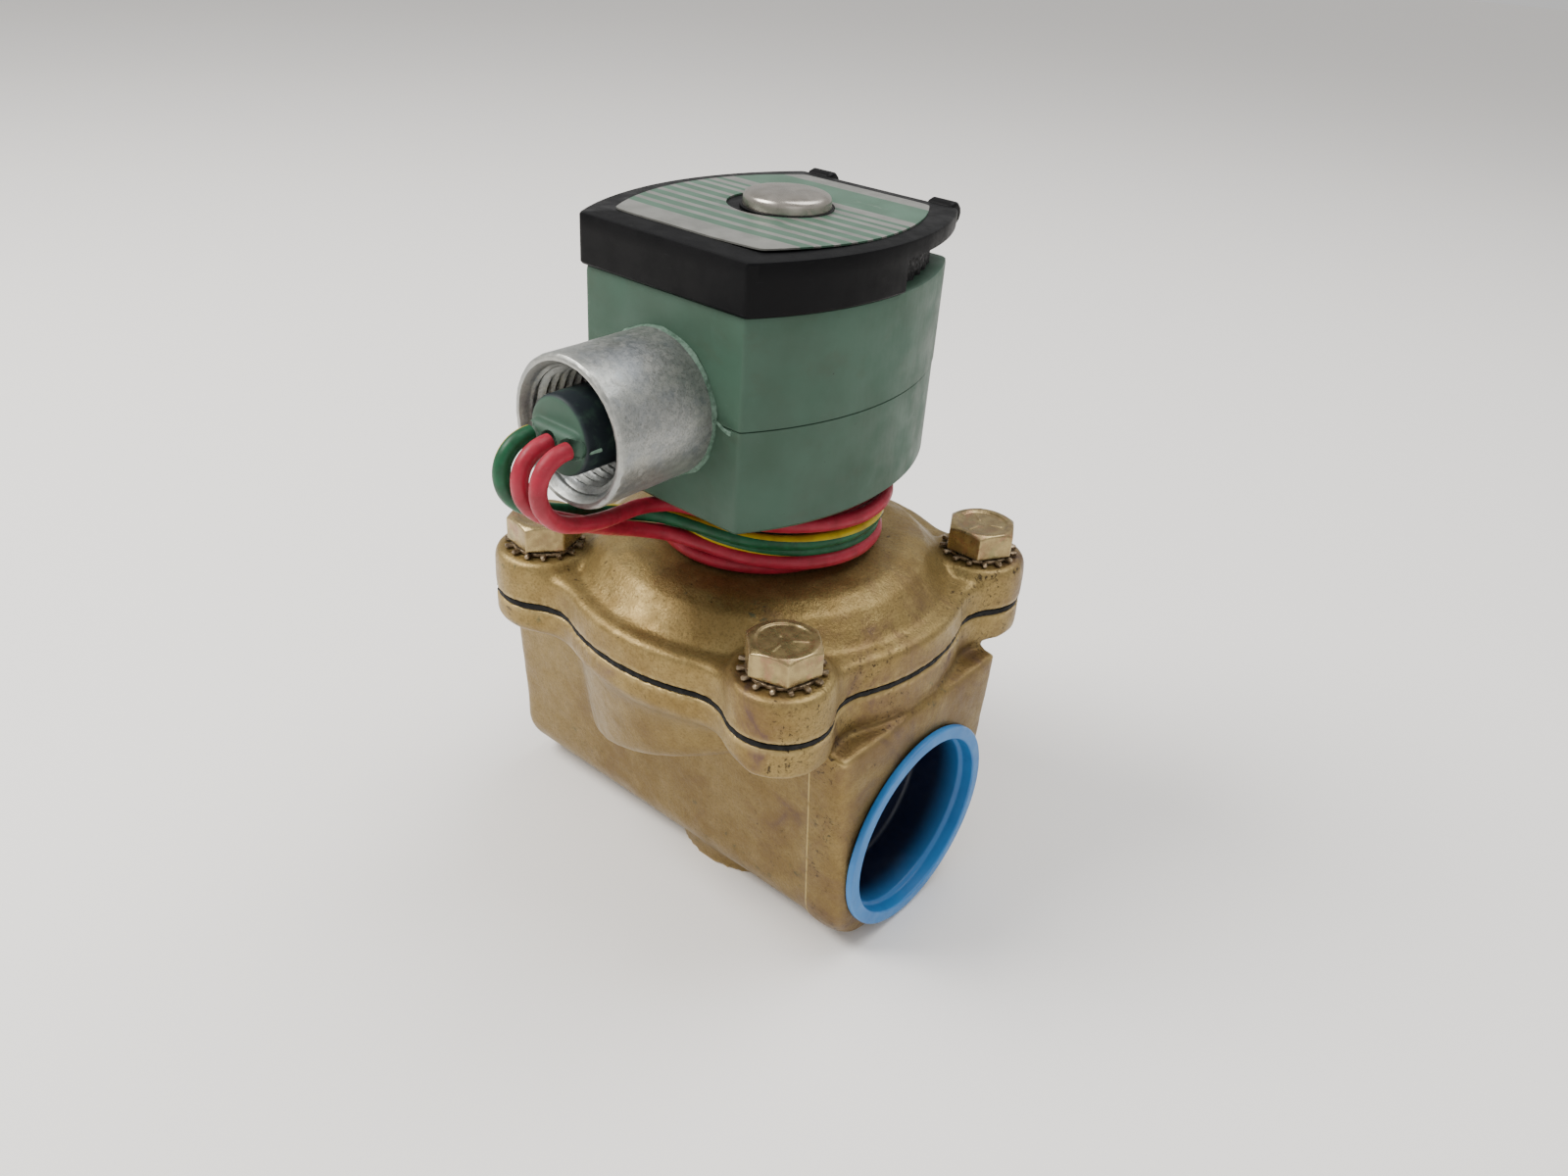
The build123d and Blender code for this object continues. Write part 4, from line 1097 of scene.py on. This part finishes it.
def make_fill():
    low, high = COIL_HIGH[2] - 1.1, COVER_LOW[2] + 5.75
    radius, bore = coil_radius(-2.3, 1.5), np.full(RAYS, 7.8)
    levels = [(bore, low)]
    for z in np.linspace(low, high, 18):
        ring = ring_of(radius, z)
        levels.append((radius + rough_field(ring, 1.8) * 0.5 + rough_field(ring, 0.7, 3.0) * 0.3, z))
    levels.append((bore, high))
    piece("fill", *stack(levels), "coil_potting", ["coil_potting"], crease=60)


def make_plate():
    """Thin printed plate: clipped along the front, its corners rounded, a wide hole round the cap."""
    z = COVER_HIGH[2]
    outline = coil_radius(-3.0, 2.6, cut=-25.2)
    inner = coil_radius(-3.12, 2.6, cut=-25.08)
    angle = np.linspace(0, 2 * math.pi, RAYS, endpoint=False)
    centre, hole = np.array([-1.7, 0.3]), 9.5
    b = centre[0] * np.cos(angle) + centre[1] * np.sin(angle)
    bore = b + np.sqrt(hole ** 2 - (centre ** 2).sum() + b * b)
    rings = [(bore, z + 0.02), (outline, z + 0.02), (outline, z + 0.3), (inner, z + 0.36)]
    for t in (0.8, 0.6, 0.4, 0.2):
        rings.append((bore + (inner - bore) * t, z + 0.36))
    rings += [(bore + 0.1, z + 0.36), (bore, z + 0.30)]
    co, faces = stack(rings)
    # the plate has lifted a little along its front right edge, and is dented beside the cap
    lift = 0.35 * ease(co[:, 0], 4, 20) * ease(-co[:, 1], 2, 26) + 0.10 * ease(-co[:, 0], 10, 24)
    dent = np.exp(-(((co[:, 0] - 6.5) / 3.0) ** 2 + ((co[:, 1] + 10.5) / 1.3) ** 2)) * 0.25
    co[:, 2] += lift + dent * (co[:, 2] > z + 0.2)
    piece("plate", co, faces, "nameplate", ["nameplate"], crease=50)


def make_cap():
    z, high, r = CAP_LOW[2], CAP_HIGH[2], CAP_HIGH[0]
    shape = rounded([(4.5, z + 1.2, 0.1), (4.5, z + 0.1, 0.1), (r - 0.15, z, 0.2), (r, z + 0.5, 0.3),
                     (r - 0.1, high - 0.75, 1.5), (r - 2.6, high - 0.2, 1.8), (r - 5.0, high - 0.04, 1.4),
                     (0.02, high, 0)], 0.4, 9, closed=False)
    inside = [(0.02, z + 1.3), (4.5, z + 1.3)]
    pressing = lathe(list(shape) + inside, "Z", 128)
    piece("cap_pressing", *pressing, "retaining_cap", ["retaining_cap"], crease=60)
    low, top = COVER_HIGH[2] + 0.05, COVER_HIGH[2] + 0.62
    ring = rounded([(4.6, low), (8.25, low), (8.25, top - 0.12), (7.2, top), (4.6, top)], 0.15)
    piece("cap_washer", *lathe(ring, "Z", 96), "cap_ring", ["cap_ring"])


def make_port_plug():
    face, deep = PLUG_HIGH[0], PLUG_LOW[0]
    shape = rounded([(22.15, face - 1.5, 0.35), (22.2, face - 0.1, 0.5), (19.4, face, 0.5),
                     (19.3, face - 2.5, 0.3), (18.6, face - 3.2, 0.3), (18.45, deep + 1.3, 1.2),
                     (0.02, deep + 1.2, 0), (0.02, deep, 0), (19.9, deep, 0.9), (20.2, face - 4, 0.2),
                     (20.2, face - 1.5, 0.1)], 0.3, 5)
    co, faces = lathe(shape, "X", 160, (0, 0, PORT_Z))
    spread = np.stack((np.zeros(len(co)), co[:, 1], co[:, 2] - PORT_Z), 1)
    out_of_round = rough_field(co, 14.0) * 0.12 / np.maximum(np.linalg.norm(spread, axis=1), 1)
    co = co + spread * out_of_round[:, None]
    piece("plug_moulding", co, faces, "port_plug", ["port_plug"])


for make in (make_housing, make_flash, make_hub, make_stub, make_cover, make_fill, make_plate, make_cap,
             make_port_plug):
    make()


# ---------------------------------------------------------------- floor and light
floor_mesh = bpy.data.meshes.new("floor")
floor_mesh.from_pydata([(-4, -4, 0), (4, -4, 0), (4, 4, 0), (-4, 4, 0)], [], [(0, 1, 2, 3)])
floor = bpy.data.objects.new("floor", floor_mesh)
bpy.context.scene.collection.objects.link(floor)
ground = Paint("pale_floor", Metallic=0.0, Roughness=0.75, Specular_IOR_Level=0.2)
ground.set(Base_Color=ground.over(linear(0.992, 0.98, 0.967), (0.996, 0.985, 0.972), ground.noise(400, 2)))
floor_mesh.materials.append(ground.material)

world = bpy.data.worlds.new("studio")
bpy.context.scene.world = world
world.use_nodes = True
world.node_tree.nodes["Background"].inputs["Color"].default_value = (0.86, 0.855, 0.845, 1)
world.node_tree.nodes["Background"].inputs["Strength"].default_value = 0.72


def soft_light(name, place, aim, size, power, tint=(1, 1, 1)):
    light = bpy.data.lights.new(name, "AREA")
    light.shape = "DISK"
    light.size = size
    light.energy = power
    light.color = tint
    obj = bpy.data.objects.new(name, light)
    obj.location = place
    obj.rotation_euler = (Vector(aim) - Vector(place)).to_track_quat("-Z", "Y").to_euler()
    bpy.context.scene.collection.objects.link(obj)


soft_light("key", (-0.45, -0.45, 0.82), (0, 0, 0.06), 0.5, 11.5, (1.0, 0.985, 0.955))
soft_light("over", (0.15, 0.35, 0.95), (0, 0, 0.08), 0.7, 6.0)
soft_light("fill", (0.75, -0.45, 0.35), (0, 0, 0.06), 0.6, 0.7)
